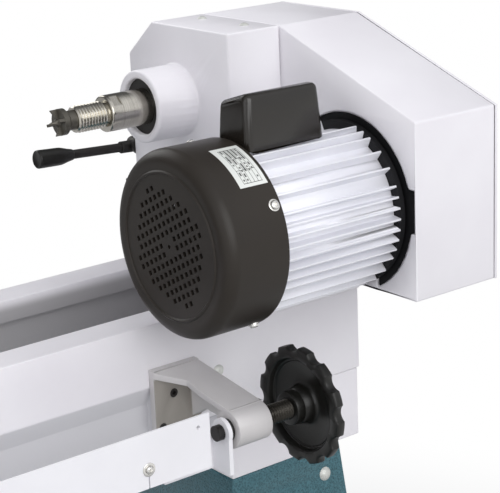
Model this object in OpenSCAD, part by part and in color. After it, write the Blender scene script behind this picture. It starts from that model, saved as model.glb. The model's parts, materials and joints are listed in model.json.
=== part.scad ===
// Duplicating lathe: a woodturning lathe on a sheet stand, with a copying
// carriage on the bed and a hinged template rail behind it.
// Lengths in millimetres. Inside each module X runs from the headstock face
// towards the tailstock, Y towards the back, Z up, and the spindle axis is
// the line Y = 0, Z = 0. The finished part stands on Z = 0.

/* [Bed] */
// Length of the bed
bed_l = 1500; // [1300:10:1800]
// Length of bed behind the headstock face
bed_back = 137; // [120:1:150]
// Spindle axis above the top of the bed
swing_r = 174; // [165:1:200]
// Width of the gap between the rails
rail_gap = 120; // [100:1:130]
// Width of one rail
rail_w = 35; // [30:1:45]
// Height of a rail
rail_h = 106; // [95:1:120]
// Height of the upright outer face of a rail
rail_face_h = 58; // [45:1:62]
// Height of the slanted face under it
rail_slant_h = 20; // [12:1:24]
// How far the lower part of a rail is set in
rail_set_in = 10; // [6:1:14]
// Wall of a rail
rail_t = 5; // [3:0.5:6]
// Height of the inner lip that the clamps pull up against
lip_h = 22; // [18:1:30]
// Depth of the recess under the lip
lip_in = 8; // [6:0.5:8]

/* [Headstock] */
// Length of the headstock box along the bed
head_l = 61; // [50:1:80]
// Front face of the headstock from the spindle axis
head_front = 77.8; // [70:0.1:90]
// Rear face of the headstock from the spindle axis
head_rear = 81.5; // [75:0.5:90]
// Top of the headstock above the spindle axis
head_top = 70.7; // [68:0.1:80]
// Height where the front chamfer starts
chamfer_z = 36.9; // [30:0.1:50]
// Distance of the chamfer's upper end from the spindle axis
chamfer_y = 36.6; // [25:0.1:50]
// Wall of the headstock casting
head_t = 7; // [5:0.5:9]
// Radius of the spindle boss
boss_r = 34.2; // [31:0.1:38]
// Length of the spindle boss
boss_l = 44; // [38:0.5:55]
// Radius of the bearing seats
seat_r = 26.2; // [24:0.1:28]
// Thickness of the base flange that saddles the bed
base_t = 14; // [10:0.5:16]
// How far the base flange wraps down the bed's sides
base_skirt = 22; // [15:1:30]

/* [Belt cover] */
// Length of the belt cover along the spindle
cover_l = 100.7; // [95:0.1:120]
// Rear face of the cover from the spindle axis
cover_rear = 257.8; // [245:0.1:275]
// Height of the cover's rear edge, where the slope ends
cover_slope_z = 4.9; // [-10:0.1:30]
// Depth of the cover below the spindle axis
cover_bottom = 155.7; // [150:0.1:158]
// Thickness of the cover's sheet
cover_t = 2.5; // [1.5:0.1:3]
// Radius of the cover's hole for the motor
motor_hole_r = 81.2; // [79:0.1:84]

/* [Spindle] */
// Radius of the spindle in its bearings
spindle_r = 15; // [13:0.1:16]
// Radius of the shoulder
shoulder_r = 17; // [16.5:0.1:20]
// End of the shoulder from the headstock face
shoulder_x = 84; // [70:0.5:95]
// Major radius of the nose thread
nose_r = 12.7; // [10:0.1:14]
// Length of the nose thread
nose_l = 32.5; // [25:0.5:38]
// Pitch of the nose thread
nose_pitch = 3.175; // [2:0.005:4]
// Depth of the nose thread
nose_depth = 1.6; // [0.8:0.1:2]
// Running clearance between the spindle and its bearings
run_gap = 0.05; // [0.02:0.01:0.08]
// Clearance between parts that only lie close
near_gap = 0.3; // [0.2:0.05:0.4]

/* [Drive centre] */
// Radius of the spur centre's head
spur_r = 12.2; // [10:0.1:14]
// Radius of the spur centre's neck
spur_neck_r = 9; // [7:0.1:10]
// Length of the neck
spur_neck_l = 7; // [4:0.5:12]
// Length of the head without its spurs
spur_head_l = 8; // [5:0.5:12]
// Reach of the spurs
spur_l = 6; // [3:0.5:8]
// Reach of the centre point
point_l = 11; // [8:0.5:14]

/* [Belt drive] */
// Pitch radii of the spindle pulley's steps
spindle_step_a = 60; // [58:1:61]
spindle_step_b = 50; // [46:1:54]
spindle_step_c = 40; // [36:1:44]
// Sum of the two pitch radii on every step
step_sum = 90; // [86:1:94]
// Width of one pulley step
step_w = 22; // [18:0.5:23]
// Width of the belt
belt_w = 10; // [8:0.5:12]
// Thickness of the belt
belt_t = 8; // [6:0.5:9]

/* [Motor] */
// Motor axis behind the spindle axis
motor_y = 170.9; // [168:0.1:174]
// Motor axis below the spindle axis
motor_drop = 79.5; // [72:0.1:81]
// Radius over the fins
fin_r = 76; // [72:0.1:78]
// Radius of the barrel between the fins
barrel_r = 67; // [64:0.1:70]
// Angle between neighbouring fins, degrees
fin_pitch = 7.4; // [7:0.1:8]
// Thickness of a fin at its root
fin_root_t = 4.2; // [3:0.1:5]
// Thickness of a fin at its tip
fin_t = 1.8; // [1:0.1:2.6]
// Inner radius of the barrel
barrel_bore_r = 60; // [56:0.1:62]
// Start of the barrel, measured back from the headstock face
barrel_back = 54.2; // [50:0.1:58]
// End of the barrel in front of the headstock face
barrel_front = 75.2; // [70:0.1:82]
// Radius of the motor shaft
motor_shaft_r = 9.5; // [8:0.1:12]
// Radius of the fan cowl
cowl_r = 81.4; // [79:0.1:86]
// Length of the fan cowl
cowl_l = 63.4; // [55:0.1:75]
// Thickness of the cowl's sheet
cowl_t = 2.2; // [1.5:0.1:3]
// Radius of the raised ring on the cowl's end
cowl_ring_r = 63; // [59:0.1:66]
// Turn of the vent pattern and the cowl screws
cowl_turn = 28; // [0:1:45]
// Pitch of the vent slots along a row
vent_pitch = 7.3; // [6.8:0.1:7.5]
// Pitch of the rows
vent_row = 7.8; // [7:0.1:8]
// Length of the capacitor box
cap_l = 86; // [70:1:90]
// Width of the capacitor box
cap_w = 44; // [40:1:52]
// Height of the capacitor box above the motor's axis
cap_top = 119; // [110:1:125]
// How far the box stands off the motor's middle, to the rear
cap_shift = 5; // [0:0.5:7]
// How far the box's top falls to the front
cap_fall = 8; // [0:0.5:10]

/* [Template rail] */
// Rail's hinge axis behind the spindle axis
hinge_y = 190; // [180:1:205]
// Rail's hinge axis below the spindle axis
hinge_drop = 248; // [240:1:256]
// Radius of the bracket's end boss
hinge_boss_r = 17.5; // [14:0.5:18]
// Length of the bracket's end boss
hinge_boss_l = 36; // [32:1:44]
// Start of the boss from the headstock face
hinge_boss_x = 64; // [60:1:68]
// Thickness of the bracket's arm
arm_t = 6; // [5:0.5:14]
// Length of the rail's channel
rail_len = 966; // [800:2:1000]
// Thickness of the rail's sheet
sheet_t = 2; // [1.5:0.1:3]
// Height of the rail's rear wall
rail_wall_h = 49; // [40:1:60]
// Pivot bolt radius
pivot_r = 5; // [4:0.1:6]

/* [Star knob] */
// Radius of the star knob
star_r = 54.5; // [45:0.5:58]
// Thickness of its rim
star_t = 15; // [12:0.5:20]
// Number of lobes
lobes = 12; // [8:1:14]
// Radius of its threaded stud
stud_r = 9; // [8:0.1:10]

/* [Carriage] */
// Length of the saddle along the bed
saddle_l = 180; // [150:5:240]
// Place of the saddle's middle on the bed
saddle_x = 700; // [600:10:800]
// Thickness of the saddle
saddle_t = 24; // [18:1:30]
// Width of the cross slide
cross_w = 80; // [60:2:110]
// Thickness of the cross slide
cross_t = 20; // [16:1:26]
// Reach of the front handle from the spindle axis
handle_reach = 257.8; // [245:0.1:275]

/* [Tailstock] */
// Front face of the tailstock from the headstock face
tail_x = 1100; // [1060:5:1160]
// Length of the tailstock casting
tail_l = 130; // [110:5:150]
// Radius of the quill
quill_r = 16; // [13:0.5:18]
// Radius of the handwheel
wheel_r = 62; // [50:1:70]

/* [Stand] */
// Height of the white base block under each end of the bed
block_h = 71; // [50:1:90]
// Length of the base block
block_l = 164; // [150:1:200]
// Height of a sheet leg
leg_h = 690; // [500:10:800]
// Length of a leg at its top
leg_top_l = 135; // [110:1:150]
// How far a leg spreads along the bed at the floor
leg_spread_x = 42; // [20:1:48]
// How far a leg spreads to each side at the floor
leg_spread_y = 81; // [50:1:120]
// Thickness of the leg's sheet
leg_t = 3; // [2:0.5:5]
// Height of the levelling feet
foot_h = 30; // [22:1:40]

/* [Hidden] */
$fn = 64;

rail_in = rail_gap / 2;
rail_out = rail_in + rail_w;
bed_top = -swing_r;
bed_bottom = bed_top - rail_h;
bed_end = bed_l - bed_back;
bed_mid = bed_end - bed_l / 2;
block_bottom = bed_bottom - block_h;
leg_bottom = block_bottom - leg_h;
axis_h = foot_h - leg_bottom;
motor_z = -motor_drop;
hinge_z = -hinge_drop;
cover_in = -head_l;
cover_out = -head_l - cover_l;
tail_side = 2 * bed_mid;
leg_far = bed_back - 30;
leg_near = leg_top_l - leg_far;
foot_reach = tail_side + leg_far + leg_spread_x;
door_knob_l = 10;
frame_x = (foot_reach + cover_out - door_knob_l) / 2;
frame_y = (cover_rear - handle_reach) / 2;
white = [0.88, 0.88, 0.89];
cast = [0.74, 0.74, 0.74];
steel = [0.62, 0.63, 0.65];
black = [0.10, 0.10, 0.10];
teal = [0.17, 0.36, 0.38];

// Solids used by many pieces
module xcyl(x0, x1, r, y = 0, z = 0) {
  translate([x0, y, z]) rotate([0, 90, 0]) cylinder(r = r, h = x1 - x0);
}
module ycyl(y0, y1, r, x = 0, z = 0) {
  translate([x, y1, z]) rotate([90, 0, 0]) cylinder(r = r, h = y1 - y0);
}
module zcyl(z0, z1, r, x = 0, y = 0) {
  translate([x, y, z0]) cylinder(r = r, h = z1 - z0);
}
module block(x0, x1, y0, y1, z0, z1) {
  translate([x0, y0, z0]) cube([x1 - x0, y1 - y0, z1 - z0]);
}
// An outline in Y and Z, drawn out along X
module yz_prism(x0, x1) {
  translate([x0, 0, 0]) rotate([90, 0, 90]) linear_extrude(x1 - x0) children();
}
// An outline in X and Z, drawn out along Y
module xz_prism(y0, y1) {
  translate([0, y1, 0]) rotate([90, 0, 0]) linear_extrude(y1 - y0) children();
}
// An outline of radius and X, turned about a line along X
module x_turned(y = 0, z = 0) {
  translate([0, y, z]) rotate([0, 90, 0]) rotate_extrude($fn = 96) children();
}
// Mirrors a piece of the head end to the tail end of the bed
module at_tail() {
  translate([tail_side, 0, 0]) mirror([1, 0, 0]) children();
}

// Bed
module rail_outline() {
  foot = rail_w - rail_set_in;
  polygon([
    [0, 0],
    [rail_w, 0],
    [rail_w, -rail_face_h],
    [foot, -rail_face_h - rail_slant_h],
    [foot, -rail_h],
    [lip_in, -rail_h],
    [lip_in, -lip_h],
    [0, -lip_h]
  ]);
}
// The hollow inside a rail
module rail_hollow() {
  foot = rail_w - rail_set_in;
  t = rail_t;
  polygon([
    [t, -t],
    [rail_w - t, -t],
    [rail_w - t, -rail_face_h],
    [foot - t, -rail_face_h - rail_slant_h],
    [foot - t, t - rail_h],
    [lip_in + t, t - rail_h],
    [lip_in + t, t - lip_h],
    [t, t - lip_h]
  ]);
}
module rail() {
  end_wall = 6;
  pad_l = bracket_x1 - 3.5 + bed_back;
  translate([0, rail_in, bed_top]) {
    difference() {
      yz_prism(-bed_back, bed_end) rail_outline();
      yz_prism(end_wall - bed_back, bed_end - end_wall) rail_hollow();
    }
    for (x = [-bed_back, bed_end - pad_l])
      block(x, x + pad_l, rail_w - rail_set_in, rail_w, -rail_h, -rail_face_h);
    block(block_l - bed_back + near_gap, bed_end - block_l - near_gap,
      rail_w - rail_set_in - rail_t, rail_w - rail_set_in, -rail_h - 6, 1 - rail_h);
  }
}
module front_rail() {
  color(white) mirror([0, 1, 0]) rail();
}
module rear_rail() {
  color(white) rail();
}
// Two webs that hold the rails apart
module bed_ties() {
  tie_l = 40;
  tie_h = 58;
  half = rail_in + lip_in;
  color(white) for (x = [20 - bed_back, bed_end - 20 - tie_l])
    block(x, x + tie_l, -half, half, bed_bottom, bed_bottom + tie_h);
}
module base_block() {
  wall = 6;
  difference() {
    block(3 - bed_back, block_l - bed_back, -rail_out, rail_out, block_bottom, bed_bottom);
    block(wall + 3 - bed_back, block_l - bed_back - wall, wall - rail_out, rail_out - wall,
      block_bottom + wall, bed_bottom - wall);
  }
}
module head_base_block() {
  color(white) base_block();
}
module tail_base_block() {
  color(white) at_tail() base_block();
}

// Headstock
module head_outline(in = 0) {
  slope = in * 0.4;
  polygon([
    [in - head_front, bed_top + in],
    [in - head_front, chamfer_z - slope],
    [slope - chamfer_y, head_top - in],
    [head_rear - in, head_top - in],
    [head_rear - in, bed_top + in]
  ]);
}
module base_outline() {
  polygon([
    [-rail_out - 4, bed_top - base_skirt],
    [-rail_out - 4, bed_top + base_t - 6],
    [-rail_out + 8, bed_top + base_t],
    [rail_out - 8, bed_top + base_t],
    [rail_out + 4, bed_top + base_t - 6],
    [rail_out + 4, bed_top - base_skirt],
    [rail_out, bed_top - base_skirt],
    [rail_out, bed_top],
    [-rail_out, bed_top],
    [-rail_out, bed_top - base_skirt]
  ]);
}
module headstock_housing() {
  color(white) difference() {
    union() {
      difference() {
        yz_prism(-head_l, 0) head_outline();
        yz_prism(head_t - head_l, -head_t) head_outline(head_t);
      }
      yz_prism(-bed_back, 0) base_outline();
      xcyl(-head_l, boss_l, boss_r);
    }
    xcyl(-head_l - 1, boss_l + 1, spindle_r + 4);
    xcyl(boss_l - bearing_in, boss_l + 1, seat_r);
    xcyl(-head_l - 1, bearing_w - head_l, seat_r);
    ycyl(-head_front - 1, 12 - head_front, lever_shaft_r + run_gap, lever_x, lever_z);
  }
}
bearing_w = 15;
bearing_in = 24;
module ring(x0, x1, r_out, r_in, y = 0, z = 0) {
  x_turned(y, z) translate([r_in, x0]) square([r_out - r_in, x1 - x0]);
}
module spindle_bearings() {
  color(steel) {
    ring(-head_l, bearing_w - head_l, seat_r - run_gap, spindle_r + run_gap);
    ring(boss_l - bearing_in, boss_l - bearing_in + bearing_w, seat_r - run_gap,
      spindle_r + run_gap);
  }
}
// Dark dust cap set into the end of the boss
module bearing_cap() {
  color(black) ring(boss_l - bearing_in + bearing_w, boss_l - 5, seat_r - run_gap,
    shoulder_r + near_gap);
}

// Belt cover: a fixed pan round the pulleys and a door at its outer end
door_l = 3;
module cover_outline(in = 0) {
  bend = head_rear - 2;
  polygon([
    [in - head_front, in - cover_bottom],
    [in - head_front, chamfer_z - in * 0.4],
    [in * 0.4 - chamfer_y, head_top - in],
    [bend, head_top - in],
    [cover_rear - in, cover_slope_z - in * 0.8],
    [cover_rear - in, in - cover_bottom]
  ]);
}
// Round opening for the motor, with a notch at the rear and a sill at the bottom
module motor_opening(x0, x1) {
  difference() {
    xcyl(x0, x1, motor_hole_r, motor_y, motor_z);
    block(x0 - 1, x1 + 1, motor_y - 100, motor_y + 36.5, motor_z - 100, motor_z - sill_drop);
  }
  block(x0, x1, motor_y + 60, cover_rear - cover_t, motor_z - 14.5, motor_z + 24);
}
sill_drop = 50;
module belt_cover() {
  color(white) {
    difference() {
      yz_prism(cover_out + door_l, cover_in) cover_outline();
      yz_prism(cover_out, cover_in - cover_t) cover_outline(cover_t);
      motor_opening(cover_in - 5, cover_in + 1);
      xcyl(cover_in - 5, cover_in + 1, seat_r);
    }
    door_hinge();
  }
}
module belt_door() {
  plate = cover_out + door_l - 0.2;
  lip = cover_t + 0.5;
  color(white) {
    difference() {
      union() {
        yz_prism(cover_out, plate) cover_outline();
        for (z = knuckle_z) {
          zcyl(z, z + knuckle_h, knuckle_r, door_pin_x, door_pin_y);
          block(cover_out, plate, door_pin_y, -head_front + 1, z, z + knuckle_h);
        }
      }
      for (z = knuckle_z)
        zcyl(z - 1, z + knuckle_h + 1, door_pin_r + run_gap, door_pin_x, door_pin_y);
    }
    yz_prism(plate, cover_out + 12) difference() {
      cover_outline(lip);
      cover_outline(lip + 2);
    }
  }
  color(black) xcyl(cover_out - door_knob_l, cover_out, 9, cover_rear - 30, -60);
}
knuckle_r = 3.5;
knuckle_h = 20;
knuckle_z = [-130, 0];
door_pin_r = 1.8;
door_pin_x = cover_out + door_l + 0.5;
door_pin_y = -head_front - 4;
// Pins and fixed knuckles of the door's hinge
module door_hinge() {
  for (z = knuckle_z) {
    zcyl(z - 10, z + knuckle_h + 3, door_pin_r, door_pin_x, door_pin_y);
    zcyl(z - 10, z - near_gap, knuckle_r, door_pin_x, door_pin_y);
    block(door_pin_x, door_pin_x + 12, door_pin_y - 1, 0.5 - head_front, z - 10, z - near_gap);
  }
}
module dome_head(r, h) {
  intersection() {
    translate([0, 0, h - r * 1.25]) sphere(r = r * 1.25, $fn = 40);
    cylinder(r = r, h = h);
  }
}
// Domed screws that hold the cover to the headstock's top and rear
module cover_screws() {
  screw_r = 4.5;
  color(steel) {
    for (y = [-10, 55]) translate([-head_l / 2 - 10, y, head_top]) dome_head(screw_r, 2.6);
    for (x = [-50, -30]) translate([x, -head_front, -80]) rotate([90, 0, 0])
      dome_head(screw_r, 2.6);
  }
}

// Spindle
module nose_thread() {
  turns = floor((nose_l - 2) / nose_pitch);
  x_turned() polygon(concat(
    [[0, shoulder_x]],
    [for (i = [0 : turns - 1], s = [0, 1])
      [nose_r - (s == 0 ? nose_depth : 0), shoulder_x + 1 + (i + s / 2) * nose_pitch]],
    [[nose_r - nose_depth, shoulder_x + 1 + turns * nose_pitch],
      [nose_r - nose_depth, shoulder_x + nose_l],
      [0, shoulder_x + nose_l]]
  ));
}
spindle_back = cover_out + 16;
module spindle() {
  flat = 3;
  color(steel) difference() {
    union() {
      xcyl(spindle_back, boss_l, spindle_r);
      xcyl(boss_l - 9 + near_gap, shoulder_x, shoulder_r);
      nose_thread();
    }
    xcyl(shoulder_x + nose_l - 60, shoulder_x + nose_l + 1, spur_neck_r - 1);
    for (a = [0, 180]) rotate([a + 35, 0, 0])
      block(shoulder_x - 17, shoulder_x - 5, -20, 20, shoulder_r - flat, 30);
  }
}
// Grooved pulley step: an outline of radius and X
module step_outline(x0, pitch_r, bore_r) {
  mid = x0 + step_w / 2;
  half = belt_w / 2 + 0.5;
  deep = pitch_r - belt_t / 2 - near_gap;
  rim = pitch_r + belt_t / 2 + 0.5;
  polygon([
    [bore_r, x0],
    [rim, x0],
    [rim, mid - half],
    [deep, mid - half + 1.5],
    [deep, mid + half - 1.5],
    [rim, mid + half],
    [rim, x0 + step_w],
    [bore_r, x0 + step_w]
  ]);
}
pulley_x = cover_in - 16 - 3 * step_w;
steps = [spindle_step_c, spindle_step_b, spindle_step_a];
module spindle_pulley() {
  color(cast) x_turned() for (i = [0 : 2])
    step_outline(pulley_x + i * step_w, steps[i], spindle_r);
}
module motor_pulley() {
  color(cast) x_turned(motor_y, motor_z) for (i = [0 : 2])
    step_outline(pulley_x + i * step_w, step_sum - steps[i], motor_shaft_r);
}
// One V belt round the middle steps
module drive_belt() {
  mid = pulley_x + 1.5 * step_w;
  spindle_pitch = spindle_step_b;
  motor_pitch = step_sum - spindle_step_b;
  color(black) yz_prism(mid - belt_w / 2 + 1.6, mid + belt_w / 2 - 1.6) difference() {
    hull() {
      circle(r = spindle_pitch + belt_t / 2, $fn = 72);
      translate([motor_y, motor_z]) circle(r = motor_pitch + belt_t / 2, $fn = 72);
    }
    hull() {
      circle(r = spindle_pitch - belt_t / 2 + 0.2, $fn = 72);
      translate([motor_y, motor_z]) circle(r = motor_pitch - belt_t / 2 + 0.2, $fn = 72);
    }
  }
}
// Four-spur drive centre in the spindle nose
module drive_centre() {
  nose_x = shoulder_x + nose_l;
  head_x = nose_x + spur_neck_l;
  face_x = head_x + spur_head_l;
  color(black) {
    xcyl(nose_x - 50, nose_x, spur_neck_r - 1 - run_gap);
    xcyl(nose_x, head_x, spur_neck_r);
    x_turned() polygon([[0, head_x], [spur_neck_r, head_x], [spur_r, head_x + 3],
      [spur_r, face_x], [4, face_x], [0, face_x + point_l]]);
    for (a = [0 : 90 : 270]) rotate([a + 20, 0, 0]) xz_prism(-1.3, 1.3)
      polygon([[face_x - 1, 3.5], [face_x + 1.5, 3.5], [face_x + spur_l, spur_r - 0.3],
        [face_x - 1, spur_r - 0.3]]);
  }
}

// Motor
rear_wall = 9;
fin_turn = -30.5;
fin_wide = (90 - 7 * fin_pitch) / 3;
// Ten fins to a quarter, with wider gaps at the cowl's screws and none below the box
fin_angles = [for (q = [0 : 3], i = [0 : 9])
  let (a = fin_turn + q * 90 + min(i, 7) * fin_pitch + max(i - 7, 0) * fin_wide)
  if (abs(a - 90) > 14) a];
// One fin, tapered from its root on the barrel to its tip
module fin() {
  yz_prism(-barrel_back, barrel_front) polygon([
    [-fin_root_t / 2, barrel_r - 3],
    [fin_root_t / 2, barrel_r - 3],
    [fin_t / 2, fin_r],
    [-fin_t / 2, fin_r]
  ]);
}
module motor_housing() {
  color(cast) difference() {
    union() {
      xcyl(-barrel_back, barrel_front, barrel_r, motor_y, motor_z);
      translate([0, motor_y, motor_z]) {
        for (a = fin_angles) rotate([a - 90, 0, 0]) fin();
        block(76 - cap_l, 70, -10, 10, barrel_r - 3, fin_r - 0.8);
      }
    }
    xcyl(-barrel_back - 1, barrel_front - rear_wall, barrel_bore_r, motor_y, motor_z);
    xcyl(0, barrel_front + 1, motor_shaft_r + 4, motor_y, motor_z);
    xcyl(0, barrel_front - 2, motor_seat_r, motor_y, motor_z);
  }
}
motor_seat_r = 20;
flange_r = motor_hole_r + 2.8;
// Black end shield that closes the barrel and bolts inside the belt cover
module motor_flange() {
  back = cover_in - cover_t;
  shield_x = back + 3.5;
  color(black) difference() {
    union() {
      intersection() {
        union() {
          xcyl(back - 6, back, flange_r, motor_y, motor_z);
          block(back - 6, back, motor_y + 60, cover_rear, motor_z - 22, motor_z + 32);
        }
        yz_prism(back - 7, back + 1) cover_outline(cover_t + near_gap);
      }
      xcyl(back - 1, shield_x, sill_drop - 1.5, motor_y, motor_z);
      xcyl(shield_x, -barrel_back, fin_r - 1, motor_y, motor_z);
      xcyl(-barrel_back, -barrel_back + 8, barrel_bore_r - run_gap, motor_y, motor_z);
    }
    xcyl(-200, 0, motor_shaft_r + 4, motor_y, motor_z);
    xcyl(-barrel_back - 6, 0, motor_seat_r, motor_y, motor_z);
  }
}
module motor_bearings() {
  color(steel) for (x = [-barrel_back - 6, barrel_front - 2 - 12])
    ring(x, x + 12, motor_seat_r - run_gap, motor_shaft_r + run_gap, motor_y, motor_z);
}
core_x0 = 24.2 - barrel_back;
core_x1 = barrel_front - 30.2;
core_r = barrel_bore_r - 23;
module motor_stator() {
  color("saddlebrown") {
    ring(core_x0, core_x1, barrel_bore_r - run_gap, core_r, motor_y, motor_z);
    ring(core_x0 - 10, core_x0, barrel_bore_r - 6, core_r + 5, motor_y, motor_z);
    ring(core_x1, core_x1 + 10, barrel_bore_r - 6, core_r + 5, motor_y, motor_z);
  }
}
module motor_rotor() {
  color(steel) {
    xcyl(pulley_x, barrel_front + 36, motor_shaft_r, motor_y, motor_z);
    ring(core_x0, core_x1, core_r - 0.6, motor_shaft_r, motor_y, motor_z);
  }
}
module motor_fan() {
  fan_x = barrel_front + 10;
  color(black) {
    ring(fan_x, fan_x + 24, 20, motor_shaft_r, motor_y, motor_z);
    ring(fan_x, fan_x + 2.5, 62, 19, motor_y, motor_z);
    translate([0, motor_y, motor_z]) for (i = [0 : 8]) rotate([i * 40, 0, 0])
      block(fan_x + 2, fan_x + 22, -1.2, 1.2, 19, 62);
  }
}
// Fan cowl: a drawn sheet cup with a raised ring and rows of vent slots
cowl_end = barrel_front + cowl_l;
vent_rows = [2, 6, 8, 10, 12, 12, 14, 14, 12, 12, 10, 8, 6, 2];
module vent_slots() {
  slot_y = 4;
  slot_z = 4.2;
  n = len(vent_rows);
  rotate(cowl_turn) {
    for (i = [0 : n - 1], j = [0 : vent_rows[i] - 1]) {
      y = (j - (vent_rows[i] - 1) / 2) * vent_pitch;
      z = (i - (n - 1) / 2) * vent_row;
      if (norm([y, z]) > 10) translate([y - slot_y / 2, z - slot_z / 2])
        square([slot_y, slot_z]);
    }
    circle(r = 1.8, $fn = 24);
  }
}
module fan_cowl() {
  curve = 12;
  step_h = 1.2;
  flat = cowl_end - step_h;
  arc_n = 12;
  turn_x = flat - curve;
  rim_r = cowl_r - curve;
  color(black) difference() {
    x_turned(motor_y, motor_z) polygon(concat(
      [[0, flat - cowl_t], [0, flat], [cowl_ring_r - 1.6, flat], [cowl_ring_r - 0.6, cowl_end],
        [cowl_ring_r + 0.6, cowl_end], [cowl_ring_r + 1.8, flat]],
      [for (i = [0 : arc_n]) [rim_r + curve * sin(i * 90 / arc_n),
        turn_x + curve * cos(i * 90 / arc_n)]],
      [[cowl_r, barrel_front], [cowl_r - cowl_t, barrel_front]],
      [for (i = [arc_n : -1 : 0]) [rim_r + (curve - cowl_t) * sin(i * 90 / arc_n),
        turn_x + (curve - cowl_t) * cos(i * 90 / arc_n)]]
    ));
    translate([flat - 10, motor_y, motor_z]) rotate([90, 0, 90]) linear_extrude(20)
      vent_slots();
  }
  cowl_feet();
}
// Four blocks inside the cowl's mouth that the screws pull down on
module cowl_feet() {
  color(black) intersection() {
    xcyl(barrel_front, cowl_end - 20, cowl_r - cowl_t / 2, motor_y, motor_z);
    translate([0, motor_y, motor_z]) for (i = [0 : 3]) rotate([i * 90 + cowl_turn, 0, 0])
      block(barrel_front, barrel_front + 8, 66, cowl_r, -7, 7);
  }
}
module cowl_screws() {
  color(steel) translate([0, motor_y, motor_z]) for (i = [0 : 3])
    rotate([i * 90 + cowl_turn, 0, 0]) translate([barrel_front + 7, cowl_r, 0])
      rotate([-90, 0, 0]) {
        cylinder(r = 5.2, h = 1);
        translate([0, 0, 1]) dome_head(4, 2.4);
      }
}
// Box over the motor for its capacitor and wiring
module capacitor_box() {
  x0 = 72 - cap_l;
  r = 7;
  y0 = motor_y + cap_shift;
  half = cap_w / 2 - r;
  seat = motor_z + 55;
  top = motor_z + cap_top;
  color(black) difference() {
    hull() for (s = [0, 1], side = [-1, 1]) {
      x = s == 0 ? x0 + r : 72 - r;
      draft = s == 0 ? 4 : -2;
      low = side < 0 ? top - cap_fall : top;
      translate([x, y0 + side * half, seat]) cylinder(r = r, h = 10, $fn = 32);
      translate([x + draft, y0 + side * (half - 2), low - 6])
        cylinder(r = r, h = 0.5, $fn = 32);
      translate([x + draft, y0 + side * (half - 2), low - 2.5])
        cylinder(r = r - 1, h = 0.5, $fn = 32);
      translate([x + draft, y0 + side * (half - 2), low - 0.5])
        cylinder(r = r - 3.5, h = 0.5, $fn = 32);
    }
    xcyl(x0 - 1, 80, fin_r + near_gap / 2, motor_y, motor_z);
    block(x0 + 8, 64, y0 - cap_w / 2 + 7, y0 + cap_w / 2 - 7, motor_z + fin_r - 2,
      top - cap_fall - 5);
  }
}
// Belt tension lever on the headstock's front
lever_shaft_r = 5;
lever_x = -8;
lever_z = -57;
lever_y = -head_front;
module tension_lever() {
  color(black) {
    ycyl(lever_y - 18, lever_y + 12, lever_shaft_r, lever_x, lever_z);
    ycyl(lever_y - 22, lever_y - near_gap, 13, lever_x, lever_z);
    translate([lever_x, lever_y - 11, lever_z]) rotate([0, lever_tilt, 0])
      xcyl(8, lever_rod_l, 4.5);
  }
}
lever_tilt = -3;
lever_rod_l = 74;
module tension_lever_grip() {
  color(black) translate([lever_x, lever_y - 11, lever_z]) rotate([0, lever_tilt, 0])
    x_turned() polygon([[0, lever_rod_l], [5, lever_rod_l], [7, lever_rod_l + 2],
      [9, lever_rod_l + 26], [8.4, lever_rod_l + 34], [6, lever_rod_l + 38],
      [0, lever_rod_l + 40]]);
}

// Switch on the headstock's front
switch_z = -130;
module switch_box() {
  y0 = -head_front - 30;
  color([0.2, 0.2, 0.2]) difference() {
    block(-head_l + 6, -6, y0, -head_front, switch_z - 30, switch_z + 34);
    for (z = [switch_z - 14, switch_z + 16])
      ycyl(y0 - 1, -head_front - 4, 8 + run_gap, -head_l / 2, z);
  }
}
module push_button(z, head_r) {
  y0 = -head_front - 30;
  ycyl(y0 - 5, -head_front - 12, 8, -head_l / 2, z);
  if (head_r > 8) ycyl(y0 - 10, y0 - 5, head_r, -head_l / 2, z);
}
module start_button() {
  color("green") push_button(switch_z + 16, 8);
}
module stop_button() {
  color("red") push_button(switch_z - 14, 12);
}

// Cast brackets that carry the template rail
plate_y = rail_out + 8;
plate_top = hinge_z + 33;
bracket_x0 = hinge_boss_x + 1;
bracket_x1 = bracket_x0 + 50.5;
arm_x0 = hinge_boss_x;
arm_x1 = hinge_boss_x + hinge_boss_l;
module bracket() {
  drop = plate_top - hinge_z - hinge_boss_r;
  difference() {
    union() {
      block(bracket_x0, bracket_x1, rail_out, plate_y, bed_bottom + 2, plate_top);
      intersection() {
        translate([0, 0, -400]) linear_extrude(500) polygon([
          [bracket_x0, rail_out], [bracket_x1, rail_out], [bracket_x1, plate_y + 1],
          [arm_x1 - 2, plate_y + 26], [arm_x1, plate_y + 46], [arm_x1, hinge_y + 2],
          [arm_x0, hinge_y + 2], [bracket_x0, plate_y]]);
        yz_prism(0, 200) polygon([
          [rail_out, plate_top], [hinge_y + 4, plate_top - drop],
          [hinge_y + 4, plate_top - drop - arm_t], [rail_out, plate_top - arm_t]]);
      }
      yz_prism(arm_x0, arm_x0 + 12) polygon([
        [rail_out, plate_top - 4], [hinge_y, hinge_z + 8], [hinge_y, hinge_z - 12],
        [rail_out + 30, plate_top - 40], [rail_out, plate_top - 58]]);
      xcyl(hinge_boss_x, arm_x1, hinge_boss_r, hinge_y, hinge_z);
    }
    xcyl(hinge_boss_x - 1, hinge_boss_x + 17, stud_r + run_gap, hinge_y, hinge_z);
    xcyl(hinge_boss_x + 15, arm_x1 + 1, pivot_r + run_gap, hinge_y, hinge_z);
    for (p = bracket_screw_places) {
      ycyl(plate_y - 5, plate_y + 30, 4.2 + run_gap, p[0], p[1]);
      ycyl(rail_out - 1, plate_y, 2.5 + run_gap, p[0], p[1]);
    }
  }
}
bracket_screw_places = [[bracket_x0 + 29, plate_top - 26], [bracket_x1 - 7.5, bed_bottom + 9]];
module head_bracket() {
  color(cast) bracket();
}
module tail_bracket() {
  color(cast) at_tail() bracket();
}
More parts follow.
